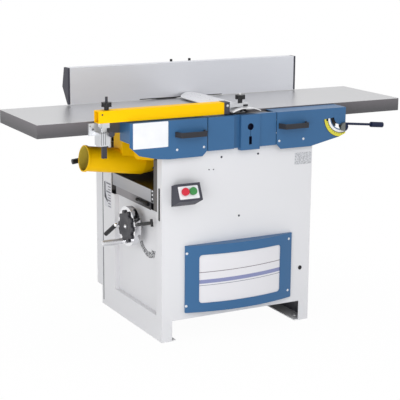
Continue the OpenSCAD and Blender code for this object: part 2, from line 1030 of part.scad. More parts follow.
// The hood's outer form, or the space inside it, drawn in by the wall
module hood_form(in) {
    grow = in > 0 ? over : 0;
    step = in > 0 ? port_step : 0;
    translate([port_x, port_y, port_z])
        rotate([0, 90 + port_tilt, 0]) {
            translate([0, 0, -grow])
                cylinder(r = port_r - in, h = port_seat + grow);
            cylinder(r = port_r - in - step, h = hood_tube_l - port_r);
            translate([0, 0, hood_tube_l - port_r])
                cylinder(r1 = port_r - in - step, r2 = port_r * hood_end_share - in - step, h = port_r - in);
        }
    slab_y([neck_y0 + in, neck_y1 - in])
        polygon([
            [neck_x0 + in, port_z - port_r / 2 + in],
            [neck_x0 + in, neck_z1 - in],
            [neck_x0 + neck_slope, neck_z1 - in],
            [neck_x1 + neck_slope, chute_z1 - in],
            [neck_x1 + neck_slope, port_z - port_r / 2 + in],
        ]);
    hull() {
        span([neck_x1, neck_x1 + neck_slope], [neck_y0 + in, neck_y1 - in], [chute_z0 + in, chute_z1 - in]);
        span([hood_mouth_x0, hood_mouth_x0 + over], [hood_y0 + in, hood_y1 - in],
            [chute_z0 + in, chute_z1 - in]);
    }
    span([hood_mouth_x0, hood_mouth_x1 + grow], [hood_y0 + in, hood_y1 - in], [chute_z0 + in, chute_z1 - in]);
}

module dust_hood() {
    color(amber)
        difference() {
            union() {
                hood_form(0);
                translate([port_x, port_y, port_z])
                    rotate([0, 90 + port_tilt, 0])
                        cylinder(r = port_r + bead, h = bead_l);
            }
            hood_form(hood_wall);
        }
}

// Thicknessing table on its column
thick_rib = 14;
thick_pockets_x = 4;
thick_pockets_y = 3;
nut_r = 22;
nut_drop = 45;
ram_z0 = 122;
module thickness_table() {
    x0 = in_x0 + thick_end_gap;
    x1 = in_x1 - thick_end_gap;
    w = (x1 - x0 - thick_rib) / thick_pockets_x;
    d = (thick_y1 - thick_y0 - thick_rib) / thick_pockets_y;
    color(ground)
        difference() {
            union() {
                difference() {
                    span([x0, x1], [thick_y0, thick_y1], [thick_z - thick_t, thick_z]);
                    for (i = [0 : thick_pockets_x - 1])
                        for (j = [0 : thick_pockets_y - 1])
                            span([x0 + thick_rib + i * w, x0 + (i + 1) * w],
                                [thick_y0 + thick_rib + j * d, thick_y0 + (j + 1) * d],
                                [thick_z - thick_t - over, thick_z - thick_plate]);
                }
                bar_z([ram_z0, thick_z - thick_plate + over], 0, sleeve_y, ram_r);
                bar_z([thick_z - thick_t - nut_drop, thick_z - thick_plate + over], screw_x, wheel_y, nut_r);
            }
            bar_z([thick_z - thick_t - nut_drop - over, thick_z - thick_plate], screw_x, wheel_y, screw_r + gap);
        }
}

// Cross beam with the guide sleeve and the arm under the lift screw
sleeve_y = -table_off_y;
beam_z0 = 60;
beam_z1 = 90;
beam_half = 62;
sleeve_wall = 15;
arm_t = 18;
arm_under = 37;
arm_z1 = wheel_z - arm_under;
sleeve_z1 = arm_z1 - arm_t;
step_r = 8;
step_l = 12;
module lift_sleeve() {
    color(cast)
        difference() {
            union() {
                span([in_x0, in_x1], [sleeve_y - beam_half, sleeve_y + beam_half], [beam_z0, beam_z1]);
                bar_z([beam_z1 - over, sleeve_z1], 0, sleeve_y, ram_r + sleeve_wall);
                span([screw_x - nut_r, 0], [wheel_y - nut_r, sleeve_y], [arm_z1 - 2 * arm_t, arm_z1 - arm_t]);
                bar_z([arm_z1 - 2 * arm_t, arm_z1], screw_x, wheel_y, nut_r);
            }
            bar_z([beam_z1, arm_z1 + over], 0, sleeve_y, ram_r + run_fit);
            bar_z([arm_z1 - step_l, arm_z1 + over], screw_x, wheel_y, step_r + run_fit);
        }
}

// Lift screw with its mitre wheel, and the handwheel with the other one
mitre_r = 24;
mitre_hub_r = 12;
mitre_face = 12;
mitre_gap = 1;
screw_short = 69;
screw_top = thick_z - screw_short;
module leadscrew() {
    color(steel) {
        bar_z([arm_z1 - step_l + gap, arm_z1 + gap], screw_x, wheel_y, step_r);
        bar_z([arm_z1 + gap, screw_top], screw_x, wheel_y, screw_r - gap);
        translate([screw_x, wheel_y, arm_z1 + gap])
            cylinder(r1 = mitre_r, r2 = mitre_hub_r, h = mitre_face);
    }
}

wheel_t = 27;
wheel_wall = 10;
wheel_hub_r = 26;
wheel_gap = 31;
hub_gap = 3;
wheel_back_x = recess_x - wheel_gap;
grip_r = 9;
grip_a_deg = 164;
grip_a_in = 9;
grip_a_out = 197;
grip_a_lean_share = 0.07;
grip_taper = 2;
grip_bar_r = 5.5;
grip_bar_l = 30;
grip_b_root = [-15, 72, -9];
grip_b_end = [-29, 142, -62];
grip_ball_r = 9;
crank_y = 27;
crank_z = -67;
crank_pin_r = 5;
crank_r = 12;
crank_l = 95;
crank_clear = 1;
module handwheel() {
    x1 = wheel_back_x;
    x0 = x1 - wheel_t;
    ball = [x0, wheel_y, wheel_z] + grip_b_root;
    mitre_x = screw_x - mitre_r - mitre_gap;
    color(steel) {
        difference() {
            bar_x([x0, x1], wheel_y, wheel_z, wheel_r);
            bar_x([x0 + wheel_wall, x1 + over], wheel_y, wheel_z, wheel_r - wheel_wall);
        }
        bar_x([x0 + wheel_wall - over, recess_x - hub_gap], wheel_y, wheel_z, wheel_hub_r);
        bar_x([x0, mitre_x], wheel_y, wheel_z, shaft_r);
        bar_x([x0 - star_gap - star_t + dish_d, x0], wheel_y, wheel_z, star_stud_r);
        translate([mitre_x - mitre_face, wheel_y, wheel_z])
            rotate([0, 90, 0])
                cylinder(r1 = mitre_r, r2 = mitre_hub_r, h = mitre_face);
        bar_x([ball[0], x0 + over], ball[1], ball[2], crank_pin_r);
        translate(ball)
            sphere(grip_ball_r);
        bar_x([x0 - crank_l - gap, x0 + over], wheel_y + crank_y, wheel_z + crank_z, crank_pin_r);
        bar_x([x0, x1 - wheel_wall], wheel_y + crank_y, wheel_z + crank_z, crank_r);
    }
}

// The two dark grips: one stands out of the rim and ends in a cross bar, one goes on from the ball
module wheel_grips() {
    x0 = wheel_back_x - wheel_t;
    hub = [x0 + grip_a_in, wheel_y, wheel_z];
    a = [grip_a_lean_share, cos(grip_a_deg), sin(grip_a_deg)];
    across = [0, -sin(grip_a_deg), cos(grip_a_deg)] * grip_bar_l / 2;
    bar = hub + a * (grip_a_out - grip_bar_r);
    face = [x0, wheel_y, wheel_z];
    b = (grip_b_end - grip_b_root) / norm(grip_b_end - grip_b_root);
    color(black) {
        rod(hub + a * (wheel_r + gap), bar, grip_r - grip_taper);
        rod(bar - across, bar + across, grip_bar_r);
        rod(face + grip_b_root + b * (grip_ball_r + gap), face + grip_b_end, grip_r);
    }
}

module crank_handle() {
    x0 = wheel_back_x - wheel_t;
    color(steel)
        difference() {
            bar_x([x0 - crank_l, x0 - star_gap - star_t - crank_clear], wheel_y + crank_y, wheel_z + crank_z, crank_r);
            bar_x([x0 - crank_l - over, x0], wheel_y + crank_y, wheel_z + crank_z, crank_pin_r + run_fit);
        }
}

star_r = 66;
star_t = 6;
star_gap = 1.5;
dish_d = 4;
dish_share = 0.7;
star_lobes = 10;
star_stud_r = 8;
star_boss_r = 18;
module star_knob() {
    x1 = wheel_back_x - wheel_t - star_gap;
    color(black)
        difference() {
            union() {
                translate([x1 - star_t, wheel_y, wheel_z])
                    rotate([90, 0, 90])
                        linear_extrude(star_t)
                            lobed_2d(star_r, star_lobes);
                bar_x([x1 - over, x1 + star_gap - gap], wheel_y, wheel_z, star_boss_r);
            }
            bar_x([x1 - star_t - over, x1 + star_gap], wheel_y, wheel_z, star_stud_r + run_fit);
            translate([x1 - star_t - over, wheel_y, wheel_z])
                rotate([0, 90, 0])
                    cylinder(r1 = star_r * dish_share, r2 = star_boss_r, h = dish_d + over);
        }
}

// Planing tables: ground plate, rim and ribs, with a thin lip at the mouth
module table_form(xo, xm) {
    s = xm > xo ? 1 : -1;
    inner = xm - s * (lip_run + rim_t);
    outer = xo + s * rim_t;
    w = (inner - outer + s * rib_t) / pockets_x;
    d = (table_w - 2 * rim_t + rib_t) / pockets_y;
    difference() {
        slab_y([ty0, ty1])
            polygon([
                [xo, work_h],
                [xm, work_h],
                [xm, work_h - lip_t],
                [xm - s * lip_run, tz0],
                [xo, tz0],
            ]);
        for (i = [0 : pockets_x - 1])
            for (j = [0 : pockets_y - 1])
                span([min(outer + i * w, outer + (i + 1) * w - s * rib_t),
                        max(outer + i * w, outer + (i + 1) * w - s * rib_t)],
                    [ty0 + rim_t + j * d, ty0 + rim_t + (j + 1) * d - rib_t],
                    [tz0 - over, work_h - plate_t]);
    }
}

lug_root = 70;
module outfeed_table() {
    color(ground)
        table_form(tx0, mouth_x0);
}

// The two hinge arms that are bolted under the outfeed table
module outfeed_hinges() {
    color(cast)
        for (h = hinge_xs)
            hinge_lug(h, -1, ty1 - lug_root, tz0);
}

// Infeed table: it rides on four posts of a hinged carrier, so that it can drop for the cut
carrier_drop = 8;
carrier_z1 = tz0 - carrier_drop;
carrier_h = 32;
carrier_x0 = 175;
carrier_x1 = 470;
carrier_bar = 30;
carrier_in = 10;
carrier_y0 = ty0 + carrier_in;
carrier_y1 = ty1 - carrier_in;
guide_r = 10;
guide_boss_r = 20;
guide_short = 12;
guide_top = work_h - plate_t - guide_short;
apron_arm_h = 24;
apron_arm_x = 350;
pivot_half = 24;
pivot_out = 30;

module at_guides() {
    for (x = [carrier_x0 + carrier_bar / 2, carrier_x1 - carrier_bar / 2])
        for (y = [carrier_y0 + carrier_bar / 2, carrier_y1 - carrier_bar / 2])
            translate([x, y, 0])
                children();
}

module infeed_carrier() {
    z = [carrier_z1 - carrier_h, carrier_z1];
    color(cast) {
        for (x = [carrier_x0, carrier_x1 - carrier_bar])
            span([x, x + carrier_bar], [carrier_y0, carrier_y1], z);
        for (y = [carrier_y0, carrier_y1 - carrier_bar])
            span([carrier_x0, carrier_x1], [y, y + carrier_bar], z);
        for (x = [carrier_x0, apron_arm_x])
            span([x, x + carrier_bar], [apron_y + apron_t, carrier_y0 + over], [z[0], z[0] + apron_arm_h]);
        difference() {
            union() {
                span([arc_x - pivot_half, arc_x + pivot_half / 2], [ty0 - pivot_out, carrier_y0 + over], z);
                span([arc_x - pivot_half, arc_x + pivot_half / 2], [ty0 - pivot_out, ty0 - rear_gap],
                    [z[0], arc_z + pivot_half]);
            }
            bar_y([ty0 - pivot_out - over, ty0], arc_x, arc_z, depth_pivot_r + run_fit);
        }
        for (h = hinge_xs)
            hinge_lug(h, 1, carrier_y1 - carrier_bar, carrier_z1);
        at_guides()
            bar_z([carrier_z1 - over, guide_top], 0, 0, guide_r);
    }
}

module infeed_table() {
    color(ground)
        difference() {
            union() {
                table_form(tx1, mouth_x1);
                at_guides()
                    bar_z([tz0, work_h - over], 0, 0, guide_boss_r);
            }
            at_guides()
                bar_z([tz0 - over, work_h - plate_t], 0, 0, guide_r + run_fit);
        }
}

// Aprons: bent sheet covers on the fronts of the tables
apron_corner = 20;
out_curve_x_shares = [0.345, 0.12, 0];
out_curve_z_shares = [0.035, 0.15, 0.39];
in_curve_x_shares = [0.49, 0.9, 1];
in_curve_z_shares = [0, 0.19, 0.28];
return_share = 0.52;

module outfeed_apron_2d() {
    w = -apron_in_x - apron_left_x;
    polygon(concat(
        [[-apron_in_x, apron_z1], [-apron_in_x, apron_z0 + apron_corner],
            [-apron_in_x - apron_corner, apron_z0], [apron_left_x + w / 2, apron_z0]],
        [for (k = [0 : len(out_curve_x_shares) - 1])
            [apron_left_x + w * out_curve_x_shares[k], apron_z0 + apron_h * out_curve_z_shares[k]]],
        [[apron_left_x, apron_z1]]));
}

module infeed_apron_2d() {
    w = apron_out_x - apron_in_x;
    difference() {
        polygon(concat(
            [[apron_out_x, apron_z1], [apron_in_x, apron_z1], [apron_in_x, apron_z0 + apron_corner],
                [apron_in_x + apron_corner, apron_z0]],
            [for (k = [0 : len(in_curve_x_shares) - 1])
                [apron_in_x + w * in_curve_x_shares[k], apron_z0 + apron_h * in_curve_z_shares[k]]]));
        lever_slot_2d();
    }
}

module outfeed_apron() {
    color(blue) {
        slab_y([apron_y, apron_y + apron_t])
            outfeed_apron_2d();
        span([apron_left_x, -apron_in_x], [apron_y + apron_t - over, ty0], [apron_z1 - apron_t, apron_z1]);
        span([apron_left_x, apron_left_x + apron_t], [apron_y + apron_t - over, ty0],
            [apron_z1 - apron_h * return_share, apron_z1]);
    }
}

module infeed_apron() {
    color(blue) {
        slab_y([apron_y, apron_y + apron_t])
            infeed_apron_2d();
        span([apron_in_x, apron_out_x], [apron_y + apron_t - over, ty0 - part_gap], [apron_z1 - apron_t, apron_z1]);
        span([apron_out_x - apron_t, apron_out_x], [apron_y + apron_t - over, ty0 - part_gap],
            [apron_z1 - apron_h * return_share, apron_z1]);
    }
}

// Lifting handles: bent straps that stand off the aprons on leaning legs
handle_drop = 60;
handle_z = work_h - handle_drop;
handle_h = 20;
handle_t = 7;
handle_foot = 8;
handle_lean = 12;
handle_in = 8;
module strap_handle(x0) {
    x1 = x0 + handle_l;
    y_in = apron_y - handle_room;
    y_out = y_in - handle_t;
    bend = handle_foot + handle_lean * handle_room / (handle_room + handle_t);
    color(black)
        translate([0, 0, handle_z - handle_h / 2])
            linear_extrude(handle_h)
                polygon([
                    [x0, apron_y],
                    [x0 + handle_lean, y_out],
                    [x1 - handle_lean, y_out],
                    [x1, apron_y],
                    [x1 - handle_foot, apron_y],
                    [x1 - bend, y_in],
                    [x0 + bend, y_in],
                    [x0 + handle_foot, apron_y],
                ]);
}

module outfeed_handle() {
    strap_handle(-apron_in_x - handle_in - handle_l);
}

module infeed_handle() {
    strap_handle(apron_in_x + handle_in);
}

// Depth of cut: arc scale, lever with its stud in the slot, and the grip
arc_x = 462;
arc_drop = 40;
arc_z = work_h - arc_drop;
arc_fn = 96;
slot_r = 44;
slot_half = 8.5;
stud_deg = -82;
lever_swing = 80;
slot_spare = 12;
scale_r0 = 57;
scale_r1 = 86;
scale_t = 1;
scale_cut = 1;
depth_stud_r = 7;
depth_hub_r = 17;
depth_hub_t = 14;
depth_arm_t = 8;
depth_arm_w = 20;
depth_pivot_r = 9;
depth_rod_r = 5;
depth_grip_r = 11;
depth_grip_share = 0.3;
depth_fall = 18.5;
rod_up = 13;
scale_gap = 1.5;

module arc_2d(r0, r1, a0, a1) {
    reach = 2 * r1;
    intersection() {
        difference() {
            circle(r1, $fn = arc_fn);
            circle(r0, $fn = arc_fn);
        }
        polygon([[0, 0], reach * [cos(a0), sin(a0)], reach * [cos((a0 + a1) / 2), sin((a0 + a1) / 2)],
            reach * [cos(a1), sin(a1)]]);
    }
}

module lever_slot_2d() {
    translate([arc_x, arc_z])
        arc_2d(slot_r - slot_half, slot_r + slot_half, stud_deg - lever_swing - slot_spare, stud_deg + slot_spare);
}

module depth_scale() {
    color(yellow)
        slab_y([apron_y - scale_t, apron_y])
            intersection() {
                translate([arc_x, arc_z])
                    arc_2d(scale_r0, scale_r1, stud_deg - lever_swing - slot_spare, stud_deg + slot_spare);
                infeed_apron_2d();
            }
}

module depth_lever() {
    stud = [arc_x + slot_r * cos(stud_deg), 0, arc_z + slot_r * sin(stud_deg)];
    hub_y = apron_y - scale_t - scale_gap - depth_hub_t;
    arm_y = apron_y + apron_t + scale_gap;
    root = stud + [0, hub_y + depth_hub_t / 2, rod_up];
    tip = root + [lever_l, 0, -depth_fall];
    color(black) {
        bar_y([hub_y, apron_y - scale_t - scale_gap], stud[0], stud[2], depth_hub_r);
        bar_y([hub_y, arm_y + depth_arm_t], stud[0], stud[2], depth_stud_r);
        slab_y([arm_y, arm_y + depth_arm_t])
            translate([arc_x, arc_z])
                rotate(stud_deg) {
                    circle(depth_arm_w / 2);
                    translate([slot_r, 0])
                        circle(depth_arm_w / 2);
                    translate([0, -depth_arm_w / 2])
                        square([slot_r, depth_arm_w]);
                }
        bar_y([arm_y, ty0 - rear_gap], arc_x, arc_z, depth_pivot_r);
        rod(root, tip, depth_rod_r);
        rod(tip + (root - tip) * depth_grip_share, tip, depth_grip_r);
    }
}

// Fence: extrusion, caps, tilting bracket, sliding carriage and clamp levers
carriage_x0 = -130;
carriage_x1 = -30;
bar_x0 = -105;
bar_x1 = -55;
bar_lift = 2;
bar_t = 10;
bar_z0 = work_h + bar_lift;
bar_l = 320;
carriage_d = 20;
knuckle_w = 30;
guide_y0 = ty1;
guide_l = 72;
guide_h = 40;
guide_wall = 16;
keeper_t = 4;
keeper_in = 12;

module fence_2d(in) {
    zmax = fence_h * fence_max_share;
    polygon([
        [in, in * 2],
        [in, fence_h - in],
        [fence_top_t - in, fence_h - in],
        [fence_max_t - in, zmax],
        [fence_foot_t, in * 2],
    ]);
}

module fence_profile() {
    color(ground)
        difference() {
            slab_x([fence_x0 + cap_t, fence_x1 - cap_t])
                translate([fence_y, fence_z])
                    fence_2d(0);
            slab_x([fence_x0, fence_x1])
                translate([fence_y, fence_z])
                    fence_2d(fence_wall);
        }
}

module fence_caps() {
    color(dark)
        for (x = [fence_x0, fence_x1 - cap_t])
            slab_x([x, x + cap_t])
                translate([fence_y, fence_z])
                    fence_2d(0);
}

bracket_x0 = -46;
bracket_x1 = 95;
bracket_z0 = 66;
bracket_z1 = 112;
bracket_y = 72;
clamp_xs = [-30.6, 56.4];
clamp_z = 92;
clamp_l = 60;
clamp_r = 9;
clamp_t = 14;
clamp_stud_r = 5;
clamp_bar_r = 5.5;

module fence_bracket() {
    color(dark)
        difference() {
            union() {
                slab_x([bracket_x0, bracket_x1])
                    translate([fence_y, fence_z])
                        difference() {
                            translate([fence_top_t, bracket_z0])
                                square([bracket_y - fence_top_t, bracket_z1 - bracket_z0]);
                            fence_2d(0);
                        }
                for (x = [carriage_x0, carriage_x1 - knuckle_w])
                    slab_x([x, x + knuckle_w])
                        difference() {
                            union() {
                                translate([tilt_y, tilt_z])
                                    circle(tilt_r);
                                translate([fence_y + fence_foot_t, tilt_z])
                                    square([tilt_dy - fence_foot_t, tilt_r * 2]);
                            }
                            translate([fence_y, fence_z])
                                fence_2d(0);
                        }
                bar_x([carriage_x0, carriage_x1], tilt_y, tilt_z, tilt_pin_r);
            }
            for (x = clamp_xs)
                bar_y([fence_y + fence_max_t + over, fence_y + bracket_y + over], x, fence_z + clamp_z,
                    clamp_stud_r + run_fit);
        }
}

module fence_carriage() {
    color(steel)
        difference() {
            union() {
                span([carriage_x0 + knuckle_w + gap, carriage_x1 - knuckle_w - gap],
                    [tilt_y, tilt_y + carriage_d], [bar_z0, bar_z0 + bar_t]);
                bar_x([carriage_x0 + knuckle_w + gap, carriage_x1 - knuckle_w - gap], tilt_y, tilt_z, tilt_r);
                span([bar_x0, bar_x1], [tilt_y + carriage_d - over, tilt_y + carriage_d + bar_l],
                    [bar_z0, bar_z0 + bar_t]);
            }
            bar_x([carriage_x0, carriage_x1], tilt_y, tilt_z, tilt_pin_r + run_fit);
        }
}

module fence_guide() {
    y = [guide_y0, guide_y0 + guide_l];
    yk = [tilt_y + carriage_d + part_gap, guide_y0 + guide_l];
    x0 = bar_x0 - gap;
    x1 = bar_x1 + gap;
    z1 = bar_z0 + bar_t + gap;
    color(cast) {
        span([x0 - guide_wall, x1 + guide_wall], y, [bar_z0 - guide_h, bar_z0 - gap]);
        for (x = [[x0 - guide_wall, x0], [x1, x1 + guide_wall]])
            span(x, yk, [bar_z0 - gap - over, z1 + keeper_t]);
        for (x = [[x0 - over, x0 + keeper_in], [x1 - keeper_in, x1 + over]])
            span(x, yk, [z1, z1 + keeper_t]);
    }
}

module clamp_lever(x) {
    y = fence_y + bracket_y + gap;
    z = fence_z + clamp_z;
    color(black) {
        bar_y([fence_y + fence_max_t + 2 * over, y + over], x, z, clamp_stud_r);
        bar_y([y, y + clamp_t], x, z, clamp_r);
        rod([x, y + clamp_t / 2, z], [x, y + clamp_t / 2, z + clamp_l], clamp_bar_r);
    }
}

module fence_slide_lever() {
    clamp_lever(clamp_xs[0]);
}

module fence_tilt_lever() {
    clamp_lever(clamp_xs[1]);
}

// Bridge guard: bracket on the outfeed table, sliding post, arm and arched plate
bracket_plate_t = 8;
plate_left = 44;
plate_right = 28;
plate_lap = 14;
bracket_plate_x0 = post_x - plate_left;
bracket_plate_x1 = post_x + plate_right;
apron_room = 58;
apron_left_x = bracket_plate_x1 + apron_room;
block_w = 40;
block_h = 48;
block_under = 40;
block_up = 32;
block_z1 = guard_z - block_under;
foot_w = 28;
foot_h = 18;
arm_wall = 3;
end_l = 32;
end_out = 1;
module guard_bracket() {
    z0 = block_z1 - block_h;
    color(steel)
        difference() {
            union() {
                span([bracket_plate_x0, bracket_plate_x1], [ty0 - bracket_plate_t, ty0],
                    [block_z1 - plate_lap, block_z1 + block_up]);
                span([post_x - block_w / 2, post_x + block_w / 2],
                    [post_y - post_t, ty0 - bracket_plate_t + over], [z0, block_z1]);
            }
            span([post_x - post_w / 2 - run_fit * 2, post_x + post_w / 2 + run_fit * 2],
                [post_y - post_t / 2 - run_fit * 2, post_y + post_t / 2 + run_fit * 2],
                [z0 - over, block_z1 + over]);
        }
}

module guard_post() {
    color(steel) {
        span([post_x - post_w / 2, post_x + post_w / 2], [post_y - post_t / 2, post_y + post_t / 2],
            [guard_z - post_drop, guard_z - foot_h + over]);
        span([post_x - foot_w / 2, post_x + foot_w / 2], [arm_y0, arm_y1], [guard_z - foot_h, guard_z]);
        bar_z([guard_z - over, guard_z + arm_h + stud_h], knob_x, post_y, stud_r);
    }
}

knob_off = 11;
knob_x = post_x + knob_off;
stud_r = 5;
stud_h = 50;
module guard_arm() {
    color(yellow)
        difference() {
            span([arm_x0, arm_x1], [arm_y0, arm_y1], [guard_z, guard_z + arm_h]);
            span([arm_x0 - over, arm_x1 - arm_wall], [arm_y0 + arm_wall, arm_y1 - arm_wall],
                [guard_z + arm_wall, guard_z + arm_h - arm_wall]);
            bar_z([guard_z - over, guard_z + arm_h + over], knob_x, post_y, stud_r + run_fit);
        }
}

// End block and the carrier that presses on the guard plate
plate_t_guard = 3;
plate_lift = 7;
plate_x = 15;
plate_front = 97;
plate_y0 = ty0 - plate_front;
plate_tip_gap = 2;
carrier_w = 44;
carrier_t = 14;
clamp_x = 10;
web_t = 16;
module guard_end_block() {
    color(dark)
        span([arm_x1, arm_x1 + end_l - web_t / 2], [arm_y0 - end_out, arm_y1 + end_out],
            [guard_z, guard_z + arm_h + end_out]);
}

module guard_carrier() {
    z_plate = guard_z + plate_lift + guard_rise + plate_t_guard + gap;
    color(steel) {
        span([arm_x1 + end_l - web_t / 2, plate_x + carrier_w / 2], [arm_y0, arm_y1], [z_plate, z_plate + carrier_t]);
        bar_z([z_plate + carrier_t - over, z_plate + carrier_t + clamp_stud_h], clamp_x, post_y, stud_r);
    }
}

clamp_stud_h = 34;
module guard_plate() {
    r = (guard_w * guard_w / 4 + guard_rise * guard_rise) / (2 * guard_rise);
    z = guard_z + plate_lift;
    color(ground)
        difference() {
            slab_y([plate_y0, fence_y - plate_tip_gap])
                intersection() {
                    difference() {
                        translate([plate_x, z + guard_rise - r])
                            circle(r + plate_t_guard, $fn = bow_fn);
                        translate([plate_x, z + guard_rise - r])
                            circle(r, $fn = bow_fn);
                    }
                    translate([plate_x - guard_w / 2, z - plate_t_guard])
                        square([guard_w, guard_rise + 3 * plate_t_guard]);
                }
            translate([plate_x, fence_y - plate_tip_gap - guard_w * tip_share, z - 2 * plate_t_guard])
                tip_cut();
        }
}

// What is cut off the far end of the guard plate, outside a circle a little wider than the plate
tip_share = 0.54;
module tip_cut() {
    tip_r = guard_w * tip_share;
    linear_extrude(guard_rise + 4 * plate_t_guard)
        difference() {
            translate([-guard_w, 0])
                square([2 * guard_w, tip_r + over]);
            circle(tip_r);
        }
}

knob_r = 20;
knob_h = 16;
knob_lift = 14;
knob_neck_r = 9;
module hand_knob(x, z) {
    color(black)
        difference() {
            translate([x, post_y, z]) {
                cylinder(r = knob_neck_r, h = knob_lift);
                translate([0, 0, knob_lift - over])
                    linear_extrude(knob_h)
                        lobed_2d(knob_r, knob_lobes);
            }
            bar_z([z - over, z + knob_lift + knob_h + over], x, post_y, stud_r + run_fit);
        }
}

module guard_height_knob() {
    hand_knob(knob_x, guard_z + arm_h + gap);
}

module guard_clamp_knob() {
    hand_knob(clamp_x, guard_z + plate_lift + guard_rise + plate_t_guard + 2 * gap + carrier_t);
}

front_panel();
left_panel();
right_panel();
rear_panel();
base_rails();
rear_cover();
bowed_cover();
cover_window();
switch_box();
stop_button();
start_button();
front_cheek();
rear_cheek();
head_cover();
pulley_cover();
hinge_brackets();
cutterblock();
cutter_knives();
head_fittings();
motor();
motor_pulley();
drive_belt();
infeed_roller();
outfeed_roller();
feed_sprocket();
feed_lever();
kickback_fingers();
dust_hood();
thickness_table();
lift_sleeve();
leadscrew();
handwheel();
wheel_grips();
crank_handle();
star_knob();
outfeed_table();
outfeed_hinges();
outfeed_apron();
outfeed_handle();
fence_guide();
infeed_carrier();
infeed_table();
infeed_apron();
infeed_handle();
depth_scale();
depth_lever();
fence_carriage();
fence_profile();
fence_caps();
fence_bracket();
fence_slide_lever();
fence_tilt_lever();
guard_bracket();
guard_post();
guard_arm();
guard_end_block();
guard_carrier();
guard_plate();
guard_height_knob();
guard_clamp_knob();
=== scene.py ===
"""Looks of a combination planer thicknesser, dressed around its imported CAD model.

Every length is in metres and every place is in the CAD frame: X along the tables, Y to the back
and Z up from the floor. New pieces are worked out as numpy grids, and every material is procedural.
"""

from __future__ import annotations

import logging
import math
from dataclasses import dataclass
from enum import Enum
from typing import Any, Union

import bpy
import numpy as np
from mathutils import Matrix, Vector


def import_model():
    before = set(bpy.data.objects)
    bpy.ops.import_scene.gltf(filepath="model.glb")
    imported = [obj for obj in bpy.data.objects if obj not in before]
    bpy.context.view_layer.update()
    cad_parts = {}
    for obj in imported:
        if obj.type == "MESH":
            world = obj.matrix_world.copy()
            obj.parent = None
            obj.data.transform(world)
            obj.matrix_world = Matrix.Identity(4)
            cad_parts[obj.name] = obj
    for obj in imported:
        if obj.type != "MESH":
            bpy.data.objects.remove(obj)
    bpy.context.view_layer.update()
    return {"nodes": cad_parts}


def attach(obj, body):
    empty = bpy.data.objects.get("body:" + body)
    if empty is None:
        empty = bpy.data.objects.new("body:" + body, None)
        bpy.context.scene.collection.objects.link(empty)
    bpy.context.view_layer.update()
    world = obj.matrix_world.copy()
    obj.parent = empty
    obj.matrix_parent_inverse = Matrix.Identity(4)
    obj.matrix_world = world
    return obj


LOG = logging.getLogger("planer")

RGB = tuple[float, float, float]
Pair = tuple[float, float]
Point = tuple[float, float, float]
Vec = Union[Point, np.ndarray]
Look = tuple[str, str]

FRONT: Point = (0.0, -1.0, 0.0)
BACK: Point = (0.0, 1.0, 0.0)
LEFT: Point = (-1.0, 0.0, 0.0)
UP: Point = (0.0, 0.0, 1.0)

# Finish and material slot of the trim that comes more than once.
DARK: Look = ("moulded dark", "dark_plastic")
BLACK: Look = ("moulded black", "black_plastic")
DEEP: Look = ("deep black", "black_plastic")
HOLE_SHADE: Look = ("hole shade dark", "black_plastic")
WHITE: Look = ("plain white", "white_panel")

SLOW_WAVES = 5.0  # slow drift of a paint's shade, in waves per metre
SLOW_SWING = 0.08  # change of roughness that goes with that drift
PEEL_WAVES = 900.0  # orange peel of a paint, in waves per metre
PEEL_DEPTH = 0.00006
PAINT_EDGE = 0.0015  # radius of painted edges
HOOD_TILT = math.radians(8.0)  # fall of the dust hood's axis to the right
TIP = 0.0005  # radius that closes the end of a turned piece

# Faces that carry more than one piece of trim.
PANEL_Y = -0.2895  # front panel
PANEL_X = -0.339  # left panel
BED_X = -0.334  # left end of the thicknessing table
APRON_Y = -0.312  # both aprons
BRACKET_Y = -0.283  # front of the guard's bracket


def srgb(red: int, green: int, blue: int) -> RGB:
    """Turns a screen colour of 0 to 255 into the linear colour that shaders use.

    Args:
        red: Red part.
        green: Green part.
        blue: Blue part.

    Returns:
        The linear colour.
    """
    parts = np.array([red, green, blue], float) / 255.0
    linear = np.where(parts <= 0.04045, parts / 12.92, ((parts + 0.055) / 1.055) ** 2.4)
    return tuple(float(p) for p in linear)


class Axis(Enum):
    """The three axes of the frame, by their place in a vector."""

    X = 0
    Y = 1
    Z = 2


class Sock:
    """A shader socket that takes part in Python arithmetic, one Math node for each operation."""

    def __init__(self, shader: "Shader", socket: bpy.types.NodeSocket) -> None:
        """Wraps an output socket of a shader's node."""
        self.shader = shader
        self.socket = socket

    def _math(self, operation: str, first: Any, second: Any) -> "Sock":
        """Adds one Math node on two values."""
        return self.shader.make("ShaderNodeMath", {"operation": operation}, {0: first, 1: second})

    def __add__(self, other: Any) -> "Sock":
        """Sum."""
        return self._math("ADD", self, other)

    __radd__ = __add__

    def __sub__(self, other: Any) -> "Sock":
        """Difference."""
        return self._math("SUBTRACT", self, other)

    def __rsub__(self, other: Any) -> "Sock":
        """Difference, from a number."""
        return self._math("SUBTRACT", other, self)

    def __mul__(self, other: Any) -> "Sock":
        """Product."""
        return self._math("MULTIPLY", self, other)

    def __pow__(self, other: Any) -> "Sock":
        """Power."""
        return self._math("POWER", self, other)

    def __gt__(self, other: Any) -> "Sock":
        """One where this value is the larger, zero elsewhere."""
        return self._math("GREATER_THAN", self, other)

    def __lt__(self, other: Any) -> "Sock":
        """One where this value is the smaller, zero elsewhere."""
        return self._math("LESS_THAN", self, other)

    def between(self, low: float, high: float) -> "Sock":
        """One where the value lies between two limits, zero elsewhere."""
        return (self > low) * (self < high)

    def repeat(self, pitch: float) -> "Sock":
        """The place within one step of a pattern that repeats, from 0 to the pitch."""
        return self.shader.make("ShaderNodeMath", {"operation": "WRAP"}, {0: self, 1: pitch, 2: 0.0})

    def larger(self, other: Any) -> "Sock":
        """The larger of two values."""
        return self._math("MAXIMUM", self, other)


